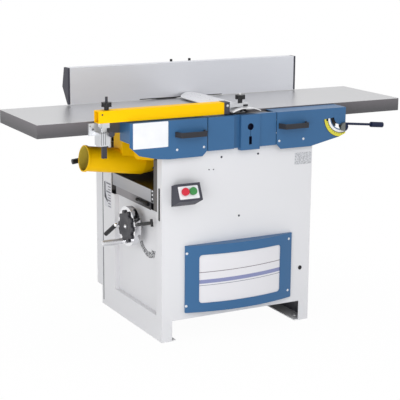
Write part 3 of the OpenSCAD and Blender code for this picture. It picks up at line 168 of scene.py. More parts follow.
class Shader:
    """A node tree under construction: its nodes, its coordinates and its principled surface."""

    def __init__(self, owner: Union[bpy.types.Material, bpy.types.World]) -> None:
        """Empties the node tree of a material or of the world."""
        owner.use_nodes = True
        self.owner = owner
        self.tree = owner.node_tree
        self.tree.nodes.clear()

    @classmethod
    def material(cls, name: str) -> "Shader":
        """Starts a new material."""
        return cls(bpy.data.materials.new(name))

    def node(self, kind: str, settings: dict[str, Any], inputs: dict[Any, Any]) -> bpy.types.Node:
        """Adds one node.

        Args:
            kind: Blender's name of the node's type.
            settings: Node attributes, set before the sockets.
            inputs: Values or sockets by input name or number.

        Returns:
            The node.
        """
        node = self.tree.nodes.new(kind)
        for key, value in settings.items():
            setattr(node, key, value)
        for key, value in inputs.items():
            if isinstance(value, Sock):
                self.tree.links.new(value.socket, node.inputs[key])
            elif isinstance(value, tuple) and len(value) == 3 and node.inputs[key].type == "RGBA":
                node.inputs[key].default_value = (*value, 1.0)
            else:
                node.inputs[key].default_value = value
        return node

    def make(self, kind: str, settings: dict[str, Any], inputs: dict[Any, Any], output: Any = 0) -> Sock:
        """Adds one node and wraps one of its outputs.

        Args:
            kind: Blender's name of the node's type.
            settings: Node attributes.
            inputs: Values or sockets by input name or number.
            output: Name or number of the output that is wanted.

        Returns:
            That output, wrapped.
        """
        return Sock(self, self.node(kind, settings, inputs).outputs[output])

    def seen_as_white(self) -> Sock:
        """One for rays from the camera, off gloss and through glass, which see the background as white."""
        rays = [self.make("ShaderNodeLightPath", {}, {}, f"Is {ray} Ray")
                for ray in ("Camera", "Glossy", "Transmission")]
        return rays[0].larger(rays[1]).larger(rays[2])

    def ramp(self, value: Sock, low: float, high: float, first: float = 0.0, last: float = 1.0) -> Sock:
        """A value that runs from a first to a last number while another runs from low to high."""
        return self.make("ShaderNodeMapRange", {}, {"Value": value, "From Min": low, "From Max": high,
                                                    "To Min": first, "To Max": last})

    def place(self) -> Sock:
        """Object coordinates, which are the frame's own because every mesh sits at the origin."""
        return self.make("ShaderNodeTexCoord", {}, {}, "Object")

    def along(self, axis: Axis) -> Sock:
        """One coordinate of the surface point, in metres."""
        return self.make("ShaderNodeSeparateXYZ", {}, {0: self.place()}, axis.value)

    def noise(self, scale: float, stretch: Vec = (1.0, 1.0, 1.0), detail: float = 2.0) -> Sock:
        """Soft noise from 0 to 1.

        Args:
            scale: Waves per metre.
            stretch: How much finer the noise is along each axis.
            detail: Octaves of finer noise.

        Returns:
            The noise value.
        """
        spread = self.make("ShaderNodeMapping", {}, {"Vector": self.place(), "Scale": tuple(stretch)})
        return self.make("ShaderNodeTexNoise", {}, {"Vector": spread, "Scale": scale, "Detail": detail}, "Fac")

    def drift(self) -> Sock:
        """The slow noise by which a paint's shade and roughness change."""
        return self.noise(SLOW_WAVES, detail=3.0)

    def streaks(self, axis: Axis, waves: float = 14.0, finer: float = 40.0) -> Sock:
        """Noise drawn out into lines along one axis, so many times finer across them."""
        stretch = [finer] * len(Axis)
        stretch[axis.value] = 1.0
        return self.noise(waves, tuple(stretch), 3.0)

    def mix(self, share: Any, first: Any, second: Any) -> Sock:
        """A colour between two colours, by a share from 0 to 1."""
        return self.make("ShaderNodeMix", {"data_type": "RGBA"}, {0: share, 6: first, 7: second}, 2)

    def shade(self, colour: Any, amount: Sock, depth: float) -> Sock:
        """Darkens and lightens a colour round its own level by a noise value.

        Args:
            colour: The colour or its socket.
            amount: Noise from 0 to 1.
            depth: Largest share by which it changes.

        Returns:
            The changed colour.
        """
        level = self.uneven(1.0, amount, 2.0 * depth)
        grey = self.make("ShaderNodeCombineXYZ", {}, {0: level, 1: level, 2: level})
        return self.make("ShaderNodeMix", {"data_type": "RGBA", "blend_type": "MULTIPLY"},
                         {0: 1.0, 6: colour, 7: grey}, 2)

    @staticmethod
    def uneven(level: Any, amount: Sock, swing: float) -> Sock:
        """A level that noise from 0 to 1 moves up and down, by a swing from end to end."""
        return level + (amount - 0.5) * swing

    def soft_edges(self, radius: float) -> Sock:
        """A normal that rounds the sharp edges of a solid by a small radius."""
        return self.make("ShaderNodeBevel", {"samples": 6}, {"Radius": radius})

    def bump(self, height: Sock, strength: float, depth: float, edge: float) -> Sock:
        """A normal bent by a height, over edges that are rounded.

        Args:
            height: The height, from 0 to 1.
            strength: Share of the effect that is used.
            depth: What a height of 1 stands for, in metres.
            edge: Radius of the edges.

        Returns:
            The bent normal.
        """
        return self.make("ShaderNodeBump", {}, {"Height": height, "Strength": strength, "Distance": depth,
                                                "Normal": self.soft_edges(edge)})

    def peel(self, depth: float = PEEL_DEPTH) -> Sock:
        """The normal of a paint: a faint orange peel and soft edges."""
        return self.bump(self.noise(PEEL_WAVES, detail=1.0), 0.35, depth, PAINT_EDGE)

    def surface(self, **sockets: Any) -> bpy.types.Material:
        """Closes the material with a principled surface.

        Args:
            **sockets: Values or sockets by input name, with underscores for spaces.

        Returns:
            The finished material.
        """
        inputs = {key.replace("_", " "): value for key, value in sockets.items()}
        body = self.make("ShaderNodeBsdfPrincipled", {}, inputs)
        self.node("ShaderNodeOutputMaterial", {}, {"Surface": body})
        return self.owner


@dataclass(frozen=True)
class Enamel:
    """Paint on sheet or castings: a faint orange peel, slow drift of shade and soft edges."""

    name: str
    colour: RGB
    rough: float
    coat: float
    drift: float
    peel: float = PEEL_DEPTH
    gloss: float = 0.5

    def build(self) -> bpy.types.Material:
        """Makes the material."""
        s = Shader.material(self.name)
        slow = s.drift()
        return s.surface(Base_Color=s.shade(self.colour, slow, self.drift),
                         Roughness=s.uneven(self.rough, slow, SLOW_SWING), Normal=s.peel(self.peel),
                         Specular_IOR_Level=self.gloss, Coat_Weight=self.coat, Coat_Roughness=0.2)


@dataclass(frozen=True)
class CabinetSheet:
    """Cabinet sheet: pale enamel outside, and a dark colour on what faces the inside as painted shade of the
    cabinet's inside.
    """

    name: str
    colour: RGB
    inside_shade: RGB
    low: Point
    high: Point
    rough: float = 0.45
    drift: float = 0.012

    def build(self) -> bpy.types.Material:
        """Makes the material: the dark inside, painted shade, is the product of three bands, one along each axis.
        """
        s = Shader.material(self.name)
        # inner marks the faces inside the cabinet, which get the painted shade
        inner: Any = 1.0
        for axis in Axis:
            inner = s.along(axis).between(self.low[axis.value], self.high[axis.value]) * inner
        slow = s.drift()
        return s.surface(Base_Color=s.shade(s.mix(inner, self.colour, self.inside_shade), slow, self.drift),
                         Roughness=s.uneven(self.rough, slow, SLOW_SWING), Coat_Weight=0.1,
                         Coat_Roughness=0.25, Normal=s.peel())


@dataclass(frozen=True)
class DuctPaint:
    """Paint on a round duct whose inside is darker and duller: dust, together with painted shade of the bore."""

    name: str
    colour: RGB
    dust_and_shade: RGB
    mouth: Point
    tilt: float
    bore: float
    run: float
    rough: float = 0.45
    dulled: float = 0.3
    drift: float = 0.05

    def build(self) -> bpy.types.Material:
        """Makes the material: the inside lies nearer to the duct's axis than the bore, over its run."""
        s = Shader.material(self.name)
        x, y, z = (s.along(axis) - at for axis, at in zip(Axis, self.mouth))
        run = x * math.cos(self.tilt) - z * math.sin(self.tilt)
        rise = x * math.sin(self.tilt) + z * math.cos(self.tilt)
        inside = ((rise * rise + y * y) ** 0.5 < self.bore) * (run < self.run)
        slow = s.drift()
        # The inside's colour is dust together with painted shade of the bore.
        return s.surface(Base_Color=s.shade(s.mix(inside, self.colour, self.dust_and_shade), slow, self.drift),
                         Roughness=s.uneven(self.rough + inside * self.dulled, slow, SLOW_SWING),
                         Specular_IOR_Level=0.1, Normal=s.peel())


@dataclass(frozen=True)
class Moulded:
    """Plastic with a fine grain."""

    name: str
    colour: RGB
    rough: float = 0.5
    grain: float = 0.00005
    waves: float = 1600.0
    drift: float = 0.06
    edge: float = 0.0012

    def build(self) -> bpy.types.Material:
        """Makes the material."""
        s = Shader.material(self.name)
        fine = s.noise(self.waves, detail=1.0)
        return s.surface(Base_Color=s.shade(self.colour, s.noise(25.0), self.drift),
                         Roughness=s.uneven(self.rough, fine, 0.1), Specular_IOR_Level=0.3,
                         Normal=s.bump(fine, 0.4, self.grain, self.edge))


@dataclass(frozen=True)
class Printed:
    """A pale film with worn print: the ink shows where soft noise is above a level."""

    name: str
    film: RGB
    ink: RGB
    level: float = 0.47
    waves: float = 160.0
    blur: float = 0.04

    def build(self) -> bpy.types.Material:
        """Makes the material: a steep step of the noise mixes the ink into the film."""
        s = Shader.material(self.name)
        inked = s.ramp(s.noise(self.waves, detail=1.0), self.level - self.blur, self.level + self.blur)
        return s.surface(Base_Color=s.mix(inked, self.film, self.ink), Roughness=0.45 + inked * 0.1)


@dataclass(frozen=True)
class Worked:
    """Bare metal with the fine lines that grinding, drawing or turning leaves along one axis."""

    name: str
    colour: RGB
    rough: float
    lines: Axis
    metal: float = 1.0
    depth: float = 0.00002
    drift: float = 0.08
    edge: float = 0.0008

    def build(self) -> bpy.types.Material:
        """Makes the material."""
        s = Shader.material(self.name)
        streak = s.streaks(self.lines)
        uneven = streak * 0.6 + s.noise(4.0) * 0.4
        return s.surface(Base_Color=s.shade(self.colour, uneven, self.drift), Metallic=self.metal,
                         Roughness=s.uneven(self.rough, streak, 0.16),
                         Normal=s.bump(streak, 0.3, self.depth, self.edge))


@dataclass(frozen=True)
class Banded:
    """Drawn metal that is bare between two places along an axis, and dark beyond them."""

    name: str
    metal: RGB
    dark: RGB
    low: float
    high: float
    axis: Axis
    edge: float = 0.001
    depth: float = 0.00003

    def build(self) -> bpy.types.Material:
        """Makes the material: the band between the two places is bare, the rest is dark."""
        s = Shader.material(self.name)
        bare = s.along(self.axis).between(self.low, self.high)
        streak = s.streaks(self.axis)
        return s.surface(Base_Color=s.shade(s.mix(bare, self.dark, self.metal), streak, 0.08),
                         Metallic=bare * 0.8, Roughness=s.uneven(0.5 - bare * 0.14, streak, 0.1),
                         Specular_IOR_Level=0.2, Normal=s.bump(streak, 0.3, self.depth, self.edge))


@dataclass(frozen=True)
class ShadeFade:
    """Metal whose colour runs from one colour to another along an axis, as painted shade."""

    name: str
    first: RGB
    last: RGB
    low: float
    high: float
    axis: Axis
    edge: float = 0.001
    depth: float = 0.0001

    def build(self) -> bpy.types.Material:
        """Makes the material: the share of the second colour rises evenly between the two places."""
        s = Shader.material(self.name)
        share = s.ramp(s.along(self.axis), self.low, self.high)
        pores = s.noise(300.0)
        return s.surface(Base_Color=s.shade(s.mix(share, self.first, self.last), pores, 0.08),
                         Roughness=s.uneven(0.5, pores, 0.1), Normal=s.bump(pores, 0.3, self.depth, self.edge))


@dataclass(frozen=True)
class GroundTable:
    """Cast iron whose top is ground bright and whose sides keep an enamel that changes downwards."""

    name: str
    top: RGB
    side: RGB
    side_low: RGB
    top_z: float
    edge_h: float = 0.04
    skin: float = 0.0012
    edge: float = 0.0012
    depth: float = 0.0001

    def build(self) -> bpy.types.Material:
        """Makes the material: what lies within a thin skin of the top's height is ground."""
        s = Shader.material(self.name)
        is_top = s.along(Axis.Z) > (self.top_z - self.skin)
        streak = s.noise(16.0, (1.0, 45.0, 1.0), 3.0)
        pores = s.noise(350.0)
        share = s.ramp(s.along(Axis.Z), self.top_z, self.top_z - self.edge_h)
        top = s.shade(self.top, streak * 0.5 + s.noise(5.0) * 0.5, 0.05)
        side = s.shade(s.mix(share, self.side, self.side_low), pores, 0.1)
        height = streak * is_top * 0.2 + pores * (1.0 - is_top)
        return s.surface(Base_Color=s.mix(is_top, side, top), Metallic=is_top * 0.75,
                         Roughness=s.uneven(0.5 - is_top * 0.16, streak, 0.08),
                         Normal=s.bump(height, 0.3, self.depth, self.edge))


@dataclass(frozen=True)
class StripedPanel:
    """White sheet with plain stripes at given heights, which rise a little to the right."""

    name: str
    ground: RGB
    stripes: tuple[tuple[float, float, RGB], ...]
    slope: float = 0.0194

    def build(self) -> bpy.types.Material:
        """Makes the material: each stripe is the band of heights between its two limits."""
        s = Shader.material(self.name)
        height = s.along(Axis.Z) - s.along(Axis.X) * self.slope
        colour: Any = s.shade(self.ground, s.noise(6.0), 0.02)
        for low, high, paint in self.stripes:
            colour = s.mix(height.between(low, high), colour, paint)
        return s.surface(Base_Color=colour, Roughness=0.3 + s.noise(30.0) * 0.08)


@dataclass(frozen=True)
class ArcScale:
    """A dial strip bent round a pivot: an outer and an inner colour with dark rings and radial ticks."""

    name: str
    pivot: Pair
    border: float
    outer: RGB
    inner: RGB
    ink: RGB
    tick_deg: float = 9.0
    tick_share: float = 0.16
    tick: float = 0.005
    ring: float = 0.0026
    white: float = 0.0125
    rim: float = 0.0838

    def build(self) -> bpy.types.Material:
        """Makes the material: distance from the pivot picks colour and rings, the angle the ticks."""
        s = Shader.material(self.name)
        across = s.along(Axis.X) - self.pivot[0]
        up = s.along(Axis.Z) - self.pivot[1]
        reach = (across * across + up * up) ** 0.5
        turn = s.make("ShaderNodeMath", {"operation": "ARCTAN2"}, {0: up, 1: across})
        step = math.radians(self.tick_deg)
        tick = (turn + 4.0 * math.pi).repeat(step).between(0.0, step * self.tick_share)
        tick = tick * reach.between(self.border, self.border + self.tick)
        low = self.border - self.ring
        dark = tick.larger(reach.between(low, self.border))
        dark = dark.larger(reach < low - self.white).larger(reach > self.rim)
        colour = s.mix(reach > self.border, self.inner, self.outer)
        colour = s.shade(s.mix(dark, colour, self.ink), s.noise(40.0), 0.03)
        return s.surface(Base_Color=colour, Roughness=0.35 + s.noise(60.0) * 0.1)


@dataclass(frozen=True)
class Rule:
    """A white measuring strip with level ticks, long and short."""

    name: str
    ground: RGB
    ink: RGB
    pitch: float
    edge_y: float
    short: float
    long: float
    margin: float = 0.004

    def build(self) -> bpy.types.Material:
        """Makes the material: ticks repeat with height, and every third is longer."""
        s = Shader.material(self.name)
        height = s.along(Axis.Z)
        inward = s.along(Axis.Y) - self.edge_y
        ticks = [height.repeat(pitch).between(0.0, thick) * inward.between(self.margin, reach)
                 for pitch, thick, reach in ((self.pitch, self.pitch * 0.34, self.short),
                                             (self.pitch * 3, self.pitch * 0.5, self.long))]
        colour = s.mix(ticks[0].larger(ticks[1]), self.ground, self.ink)
        return s.surface(Base_Color=s.shade(colour, s.noise(40.0), 0.03), Roughness=0.4 + s.noise(50.0) * 0.1)


def unit(vector: Vec) -> np.ndarray:
    """A vector of length one in the same direction."""
    v = np.asarray(vector, float)
    return v / np.linalg.norm(v)


def cross_axes(direction: Vec) -> tuple[np.ndarray, np.ndarray]:
    """Two unit vectors across a direction, so that the three make a right-handed set.

    Args:
        direction: The direction that they lie across, which isn't upright.

    Returns:
        The two vectors.
    """
    d = unit(direction)
    first = unit(np.cross(UP, d))
    return first, np.cross(d, first)


def upright(normal: Vec) -> tuple[np.ndarray, np.ndarray]:
    """The axes of an outline on a surface, of which the second rises as steeply as it can.

    Args:
        normal: Direction across the surface.

    Returns:
        The unit normal, and the two axes as the rows of an array.
    """
    n = unit(normal)
    v = unit(np.asarray(UP) - n * np.dot(UP, n))
    return n, np.stack([np.cross(v, n), v])


def skin(name: str, rings: np.ndarray, caps: bool = True) -> bpy.types.Object:
    """Makes a mesh from rings of points: quads between neighbours and flat caps on both ends.

    Args:
        name: Name of the object.
        rings: Points in an array of rings by points by 3.
        caps: Whether the first and the last ring are closed with a face.

    Returns:
        The object, at the origin.
    """
    count, size = rings.shape[:2]
    row, col = np.meshgrid(np.arange(count - 1), np.arange(size), indexing="ij")
    nxt = (col + 1) % size
    quads = np.stack([row * size + col, row * size + nxt, (row + 1) * size + nxt, (row + 1) * size + col], -1)
    faces: list[Any] = quads.reshape(-1, 4).tolist()
    if caps:
        faces.append(list(range(size - 1, -1, -1)))
        faces.append(list(range((count - 1) * size, count * size)))
    mesh = bpy.data.meshes.new(name)
    mesh.from_pydata(rings.reshape(-1, 3).tolist(), [], faces)
    mesh.validate()
    mesh.update()
    piece = bpy.data.objects.new(name, mesh)
    bpy.context.scene.collection.objects.link(piece)
    return piece


def circle(steps: int, start: float = 0.0) -> np.ndarray:
    """Points on a circle of radius one, of which the first lies a share of a step past the first axis."""
    t = (np.arange(steps) + start) * 2.0 * math.pi / steps
    return np.stack([np.cos(t), np.sin(t)], -1)


def round_outline(width: float, height: float, radius: float) -> np.ndarray:
    """The outline of a rectangle with round corners: a circle pulled apart by its own signs.

    Args:
        width: Size along the first axis.
        height: Size along the second axis.
        radius: Corner radius.

    Returns:
        Points in an array of steps by 2.
    """
    points = circle(48, 0.5)
    return np.sign(points) * np.array([width / 2.0 - radius, height / 2.0 - radius]) + radius * points


def lathe(name: str, base: Vec, direction: Vec, profile: np.ndarray, steps: int = 28) -> bpy.types.Object:
    """A turned piece: a profile of radius and height carried round an axis.

    Args:
        name: Name of the object.
        base: Point of the axis where the height is zero.
        direction: Direction of the axis.
        profile: Radii and heights, from one end to the other.
        steps: Points round the axis.

    Returns:
        The object.
    """
    ring = circle(steps) @ np.stack(cross_axes(direction))
    radius, height = profile[:, 0, None, None], profile[:, 1, None, None]
    return skin(name, np.asarray(base) + radius * ring + height * unit(direction))


def screw_head(name: str, place: Vec, normal: Vec, radius: float, rise: float) -> bpy.types.Object:
    """A domed screw head: the profile is a quarter of an ellipse with a small socket in its top.

    Args:
        name: Name of the object.
        place: Point on the surface.
        normal: Direction out of the surface.
        radius: Radius of the head.
        rise: Height of the head.

    Returns:
        The object.
    """
    t = np.linspace(0.0, math.pi / 2.0, 7)[:-1]
    dome = np.stack([np.cos(t), np.sin(t)], -1)
    socket = np.array([[0.42, 1.0], [0.36, 1.0], [0.34, 0.45]])
    return lathe(name, place, normal, np.concatenate([dome, socket]) * np.array([radius, rise]), 20)


@dataclass(frozen=True)
class Palette:
    """All the finishes of the machine, made once."""

    made: dict[str, bpy.types.Material]

    @classmethod
    def mix_all(cls) -> "Palette":
        """Builds every finish."""
        finishes = [
            # The cabinet's inside faces are painted darker as shade.
            CabinetSheet("cabinet white", srgb(221, 221, 224), inside_shade=srgb(66, 66, 74),
                         low=(-0.3169, -0.2869, 0.0), high=(0.3369, 0.2869, 0.75)),
            Enamel("rail white", srgb(226, 226, 228), rough=0.45, coat=0.1, drift=0.012),
            Enamel("machine blue", srgb(52, 98, 142), rough=0.42, coat=0.04, drift=0.04, gloss=0.35),
            Enamel("guard yellow", srgb(255, 200, 0), rough=0.5, coat=0.0, drift=0.02, gloss=0.1),
            # The hood's inside colour is dust together with painted shade.
            DuctPaint("hood amber", srgb(255, 200, 0), dust_and_shade=srgb(200, 178, 72), mouth=(-0.530, 0.020, 0.700),
                      tilt=HOOD_TILT, bore=0.0485, run=0.25),
            Enamel("casting grey", srgb(88, 86, 86), rough=0.55, coat=0.0, drift=0.08, peel=0.0002),
            Moulded("moulded dark", srgb(62, 62, 72)),
            Moulded("moulded black", srgb(26, 26, 29), rough=0.45),
            Moulded("handle black", srgb(44, 44, 49)),
            Moulded("deep black", srgb(12, 12, 14), rough=0.6),
            # Colour of the cups that paint the shade inside holes.
            Moulded("hole shade dark", srgb(6, 14, 44), rough=0.6),
            Moulded("stop red", srgb(205, 42, 62), rough=0.3),
            Moulded("start green", srgb(60, 135, 72), rough=0.3),
            Moulded("belt rubber", srgb(28, 28, 28), rough=0.75),
            Moulded("plain white", srgb(236, 237, 240), rough=0.35),
            # Grey of the strips that paint the shade in the bracket's grooves.
            Moulded("groove shade grey", srgb(110, 112, 118), rough=0.6),
            Moulded("knob grey", srgb(60, 60, 65), rough=0.45),
            Worked("turned steel", (0.55, 0.56, 0.58), rough=0.3, lines=Axis.Y),
            Worked("bright chrome", (0.8, 0.8, 0.82), rough=0.07, lines=Axis.X, depth=0.00001, drift=0.06),
            Worked("anodised", (0.62, 0.63, 0.67), rough=0.42, lines=Axis.X, metal=0.55, drift=0.05),
            Worked("bracket metal", (0.62, 0.63, 0.65), rough=0.34, lines=Axis.Z, metal=0.7, drift=0.1),
            Worked("plain chrome", (0.7, 0.7, 0.72), rough=0.3, lines=Axis.X, metal=0.7, drift=0.05),
            Worked("guard sheet", (0.8, 0.8, 0.81), rough=0.3, lines=Axis.Y, metal=0.6, drift=0.04),
            Banded("post metal", (0.62, 0.63, 0.64), dark=srgb(60, 60, 66), low=0.801, high=0.936, axis=Axis.Z),
            Banded("lever metal", (0.17, 0.18, 0.17), dark=srgb(20, 30, 58), low=0.449, high=0.471, axis=Axis.X),
            # The skirt is dark towards the front and pale towards the back: painted shade.
            ShadeFade("bed skirt shade", srgb(44, 43, 48), last=srgb(134, 132, 136), low=-0.10, high=0.02, axis=Axis.Y),
            Printed("arrow print", srgb(206, 206, 208), ink=srgb(86, 86, 90)),
            Printed("plate print", srgb(206, 207, 211), ink=srgb(168, 169, 174), level=0.52, waves=220.0),
            GroundTable("ground table", srgb(190, 190, 192), side=srgb(104, 100, 104), side_low=srgb(78, 77, 80),
                        top_z=0.890),
            GroundTable("ground bed", srgb(58, 56, 55), side=srgb(172, 173, 178), side_low=srgb(158, 159, 164),
                        top_z=0.597),
            StripedPanel("window sheet", srgb(223, 222, 226), stripes=(
                (0.2745, 0.2772, srgb(112, 104, 112)),
                (0.2298, 0.2455, srgb(132, 138, 178)),
                (0.2212, 0.2234, srgb(120, 122, 140)))),
            ArcScale("depth dial", pivot=(0.462, 0.850), border=0.0690, outer=srgb(214, 206, 60),
                     inner=srgb(240, 240, 240), ink=srgb(40, 42, 52)),
            Rule("height rule", srgb(208, 208, 214), ink=srgb(104, 105, 114), pitch=0.012, edge_y=0.187,
                 short=0.030, long=0.048),
        ]
        return cls({finish.name: finish.build() for finish in finishes})

    def dress(self, piece: bpy.types.Object, finish: str) -> None:
        """Gives a piece one finish in place of what it had."""
        piece.data.materials.clear()
        piece.data.materials.append(self.made[finish])


@dataclass
class Fitter:
    """Puts new pieces on their bodies, dressed and logged."""

    palette: Palette

    def fit(self, piece: bpy.types.Object, body: str, finish: str, slot: str) -> None:
        """Dresses a piece and lets it ride on a body.

        Args:
            piece: The new piece.
            body: The CAD body that carries it.
            finish: Name of its finish.
            slot: The record's material slot, which is not used.
        """
        self.palette.dress(piece, finish)
        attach(piece, body)
        LOG.info("fitted %s on %s", piece.name, body)


NODE_FINISH: dict[str, str] = {
    finish_node: finish for finish, nodes in {
        "cabinet white": "front_panel left_panel right_panel rear_panel rear_cover pulley_cover",
        "rail white": "base_rails",
        "machine blue": "bowed_cover head_cover outfeed_apron infeed_apron",
        "guard yellow": "guard_arm",
        "hood amber": "dust_hood",
        "casting grey": "front_cheek rear_cheek hinge_brackets infeed_carrier lift_sleeve fence_guide "
                        "kickback_fingers motor outfeed_hinges",
        "moulded dark": "switch_box fence_caps guard_end_block",
        "moulded black": "wheel_grips guard_height_knob guard_clamp_knob fence_slide_lever fence_tilt_lever "
                         "feed_lever",
        "lever metal": "depth_lever",
        "knob grey": "star_knob",
        "handle black": "outfeed_handle infeed_handle",
        "stop red": "stop_button",
        "start green": "start_button",
        "belt rubber": "drive_belt",
        "turned steel": "cutterblock cutter_knives head_fittings motor_pulley infeed_roller outfeed_roller "
                        "feed_sprocket leadscrew fence_carriage guard_carrier",
        "bright chrome": "handwheel",
        "anodised": "fence_profile fence_bracket",
        "bracket metal": "guard_bracket",
        "plain chrome": "crank_handle",
        "post metal": "guard_post",
        "guard sheet": "guard_plate",
        "ground table": "outfeed_table infeed_table",
        "ground bed": "thickness_table",
        "window sheet": "cover_window",
        "depth dial": "depth_scale",
    }.items() for finish_node in nodes.split()
}


@dataclass(frozen=True)
class Trim:
    """A small piece that only the scene has: its name, the body that carries it, its finish and its slot."""

    name: str
    body: str
    look: Look

    def pieces(self) -> list[bpy.types.Object]:
        """Makes the meshes."""
        raise NotImplementedError

    def build(self, fitter: Fitter) -> None:
        """Makes the meshes and fits them."""
        for piece in self.pieces():
            fitter.fit(piece, self.body, *self.look)


@dataclass(frozen=True)
class Plate(Trim):
    """A flat plate with round corners and a small bevel, given by the middle of its back."""

    middle: Point
    normal: Point
    size: Pair
    thick: float
    corner: float

    def pieces(self) -> list[bpy.types.Object]:
        """Stacks three outlines: the back, the foot of the bevel and the front."""
        n, axes = upright(self.normal)
        width, height = self.size
        bevel = min(self.thick, self.corner) * 0.4
        rings = []
        for inset, rise in ((0.0, 0.0), (0.0, self.thick - bevel), (bevel, self.thick)):
            flat = round_outline(width - 2 * inset, height - 2 * inset, max(self.corner - inset, 1e-4))
            rings.append(np.asarray(self.middle) + flat @ axes + n * rise)
        return [skin(self.name, np.stack(rings))]


@dataclass(frozen=True)
class ShadeCup(Trim):
    """A thin dark cup in a hole in the front, which paints the shade inside the hole, given by the middle of the
    hole's mouth.
    """

    mouth: Point
    size: Pair
    depth: float
    corner: float
    wall: float = 0.0008
    shrunk: float = 0.01

    def pieces(self) -> list[bpy.types.Object]:
        """Carries an outline from the floor up inside, over the rim and down outside to the floor's back."""
        n, axes = upright(BACK)
        (width, height), wall = self.size, self.wall
        outer = round_outline(width - wall / 2, height - wall / 2, self.corner - wall / 4)
        inner = round_outline(width - 2 * wall, height - 2 * wall, self.corner - wall)
        floor, back = self.depth - wall, self.depth - wall / 4
        rows = [(inner * self.shrunk, floor), (inner, floor), (inner, wall),
                (outer, wall), (outer, back), (outer * self.shrunk, back)]
        return [skin(self.name, np.stack([np.asarray(self.mouth) + flat @ axes + n * deep for flat, deep in rows]))]


@dataclass(frozen=True)
class Arrow(Trim):
    """A flat arrow along an arc on the left side. Its angle counts from the front upwards."""

    pivot: Point
    radii: Pair
    degrees: Pair
    head: float
    thick: float
    flare: float = 1.7

    def pieces(self) -> list[bpy.types.Object]:
        """Runs out along the outer arc and back along the inner one; the head shrinks evenly to a point."""
        last = self.degrees[1]
        turn = np.linspace(*self.degrees, 60)
        t = np.radians(turn)[:, None]
        arc = np.cos(t) * np.array(FRONT) + np.sin(t) * np.array(UP)
        middle, half = sum(self.radii) / 2, (self.radii[1] - self.radii[0]) / 2
        head = self.flare * half * (last - turn) / self.head + 1e-4
        half = np.where(turn > last - self.head, head, half)[:, None]
        outline = np.concatenate([(middle + half) * arc, ((middle - half) * arc)[::-1]]) + np.asarray(self.pivot)
        return [skin(self.name, np.stack([outline, outline + np.array(LEFT) * self.thick]))]


@dataclass(frozen=True)
class Pointer(Trim):
    """A flat piece on the left side, given by the corners of its outline along Y and Z."""

    back_x: float
    thick: float
    outline: tuple[Pair, ...]

    def pieces(self) -> list[bpy.types.Object]:
        """Stacks the outline's back and front."""
        back = np.array([[self.back_x, y, z] for y, z in self.outline])
        return [skin(self.name, np.stack([back, back + np.array(LEFT) * self.thick]))]


@dataclass(frozen=True)
class Turned(Trim):
    """A turned piece: radii and heights from one end to the other, in parts of a scale."""

    base: Point
    direction: Point
    scale: Pair
    profile: tuple[Pair, ...]

    def pieces(self) -> list[bpy.types.Object]:
        """Carries the profile round the axis."""
        return [lathe(self.name, self.base, self.direction, np.array(self.profile) * np.array(self.scale))]


@dataclass(frozen=True)
class Screws(Trim):
    """Screw heads on a face, each with its place and its radius. More than one are numbered."""

    rise: float
    heads: tuple[tuple[float, float, float, float], ...]
    normal: Point = FRONT

    def spots(self) -> list[tuple[Vec, Vec, float]]:
        """The place, the normal and the radius of each head."""
        return [(head[:3], self.normal, head[3]) for head in self.heads]

    def pieces(self) -> list[bpy.types.Object]:
        """Makes a head at each spot."""
        spots = self.spots()
        names = [f"{self.name}_{k}" for k in range(len(spots))] if len(spots) > 1 else [self.name]
        return [screw_head(name, *spot, self.rise) for name, spot in zip(names, spots)]


@dataclass(frozen=True)
class BowedScrews(Screws):
    """Screw heads on the upright bowed cover, whose places are given at the depth of its nose."""

    middle_x: float = 0.004
    bow_r: float = 0.8165

    def spots(self) -> list[tuple[Vec, Vec, float]]:
        """Moves each head back onto the circle of the sheet and turns it square to that."""
        spots = []
        for x, y, z, radius in self.heads:
            off = x - self.middle_x
            depth = math.sqrt(self.bow_r ** 2 - off ** 2)
            spots.append(((x, y + self.bow_r - depth, z), (off, -depth, 0.0), radius))
        return spots


@dataclass(frozen=True)
class ConeBolts(Trim):
    """Bolts on the dust hood's tapered end, each with its run along the axis and its turn in degrees."""

    base: Point
    cone_r: float
    taper: float
    bolt_r: float
    rise: float
    bolts: tuple[Pair, ...]

    def pieces(self) -> list[bpy.types.Object]:
        """Sets each bolt square to the cone, whose radius falls by the taper for each length of run."""
        along = np.array([math.cos(HOOD_TILT), 0.0, -math.sin(HOOD_TILT)])
        high = np.array([math.sin(HOOD_TILT), 0.0, math.cos(HOOD_TILT)])
        made = []
        for k, (run, degrees) in enumerate(self.bolts):
            turn = math.radians(degrees)
            out = high * math.sin(turn) + np.array(FRONT) * math.cos(turn)
            place = np.asarray(self.base) + along * run + out * (self.cone_r - self.taper * run)
            made.append(screw_head(f"{self.name}_{k}", place, out + along * self.taper, self.bolt_r, self.rise))
        return made


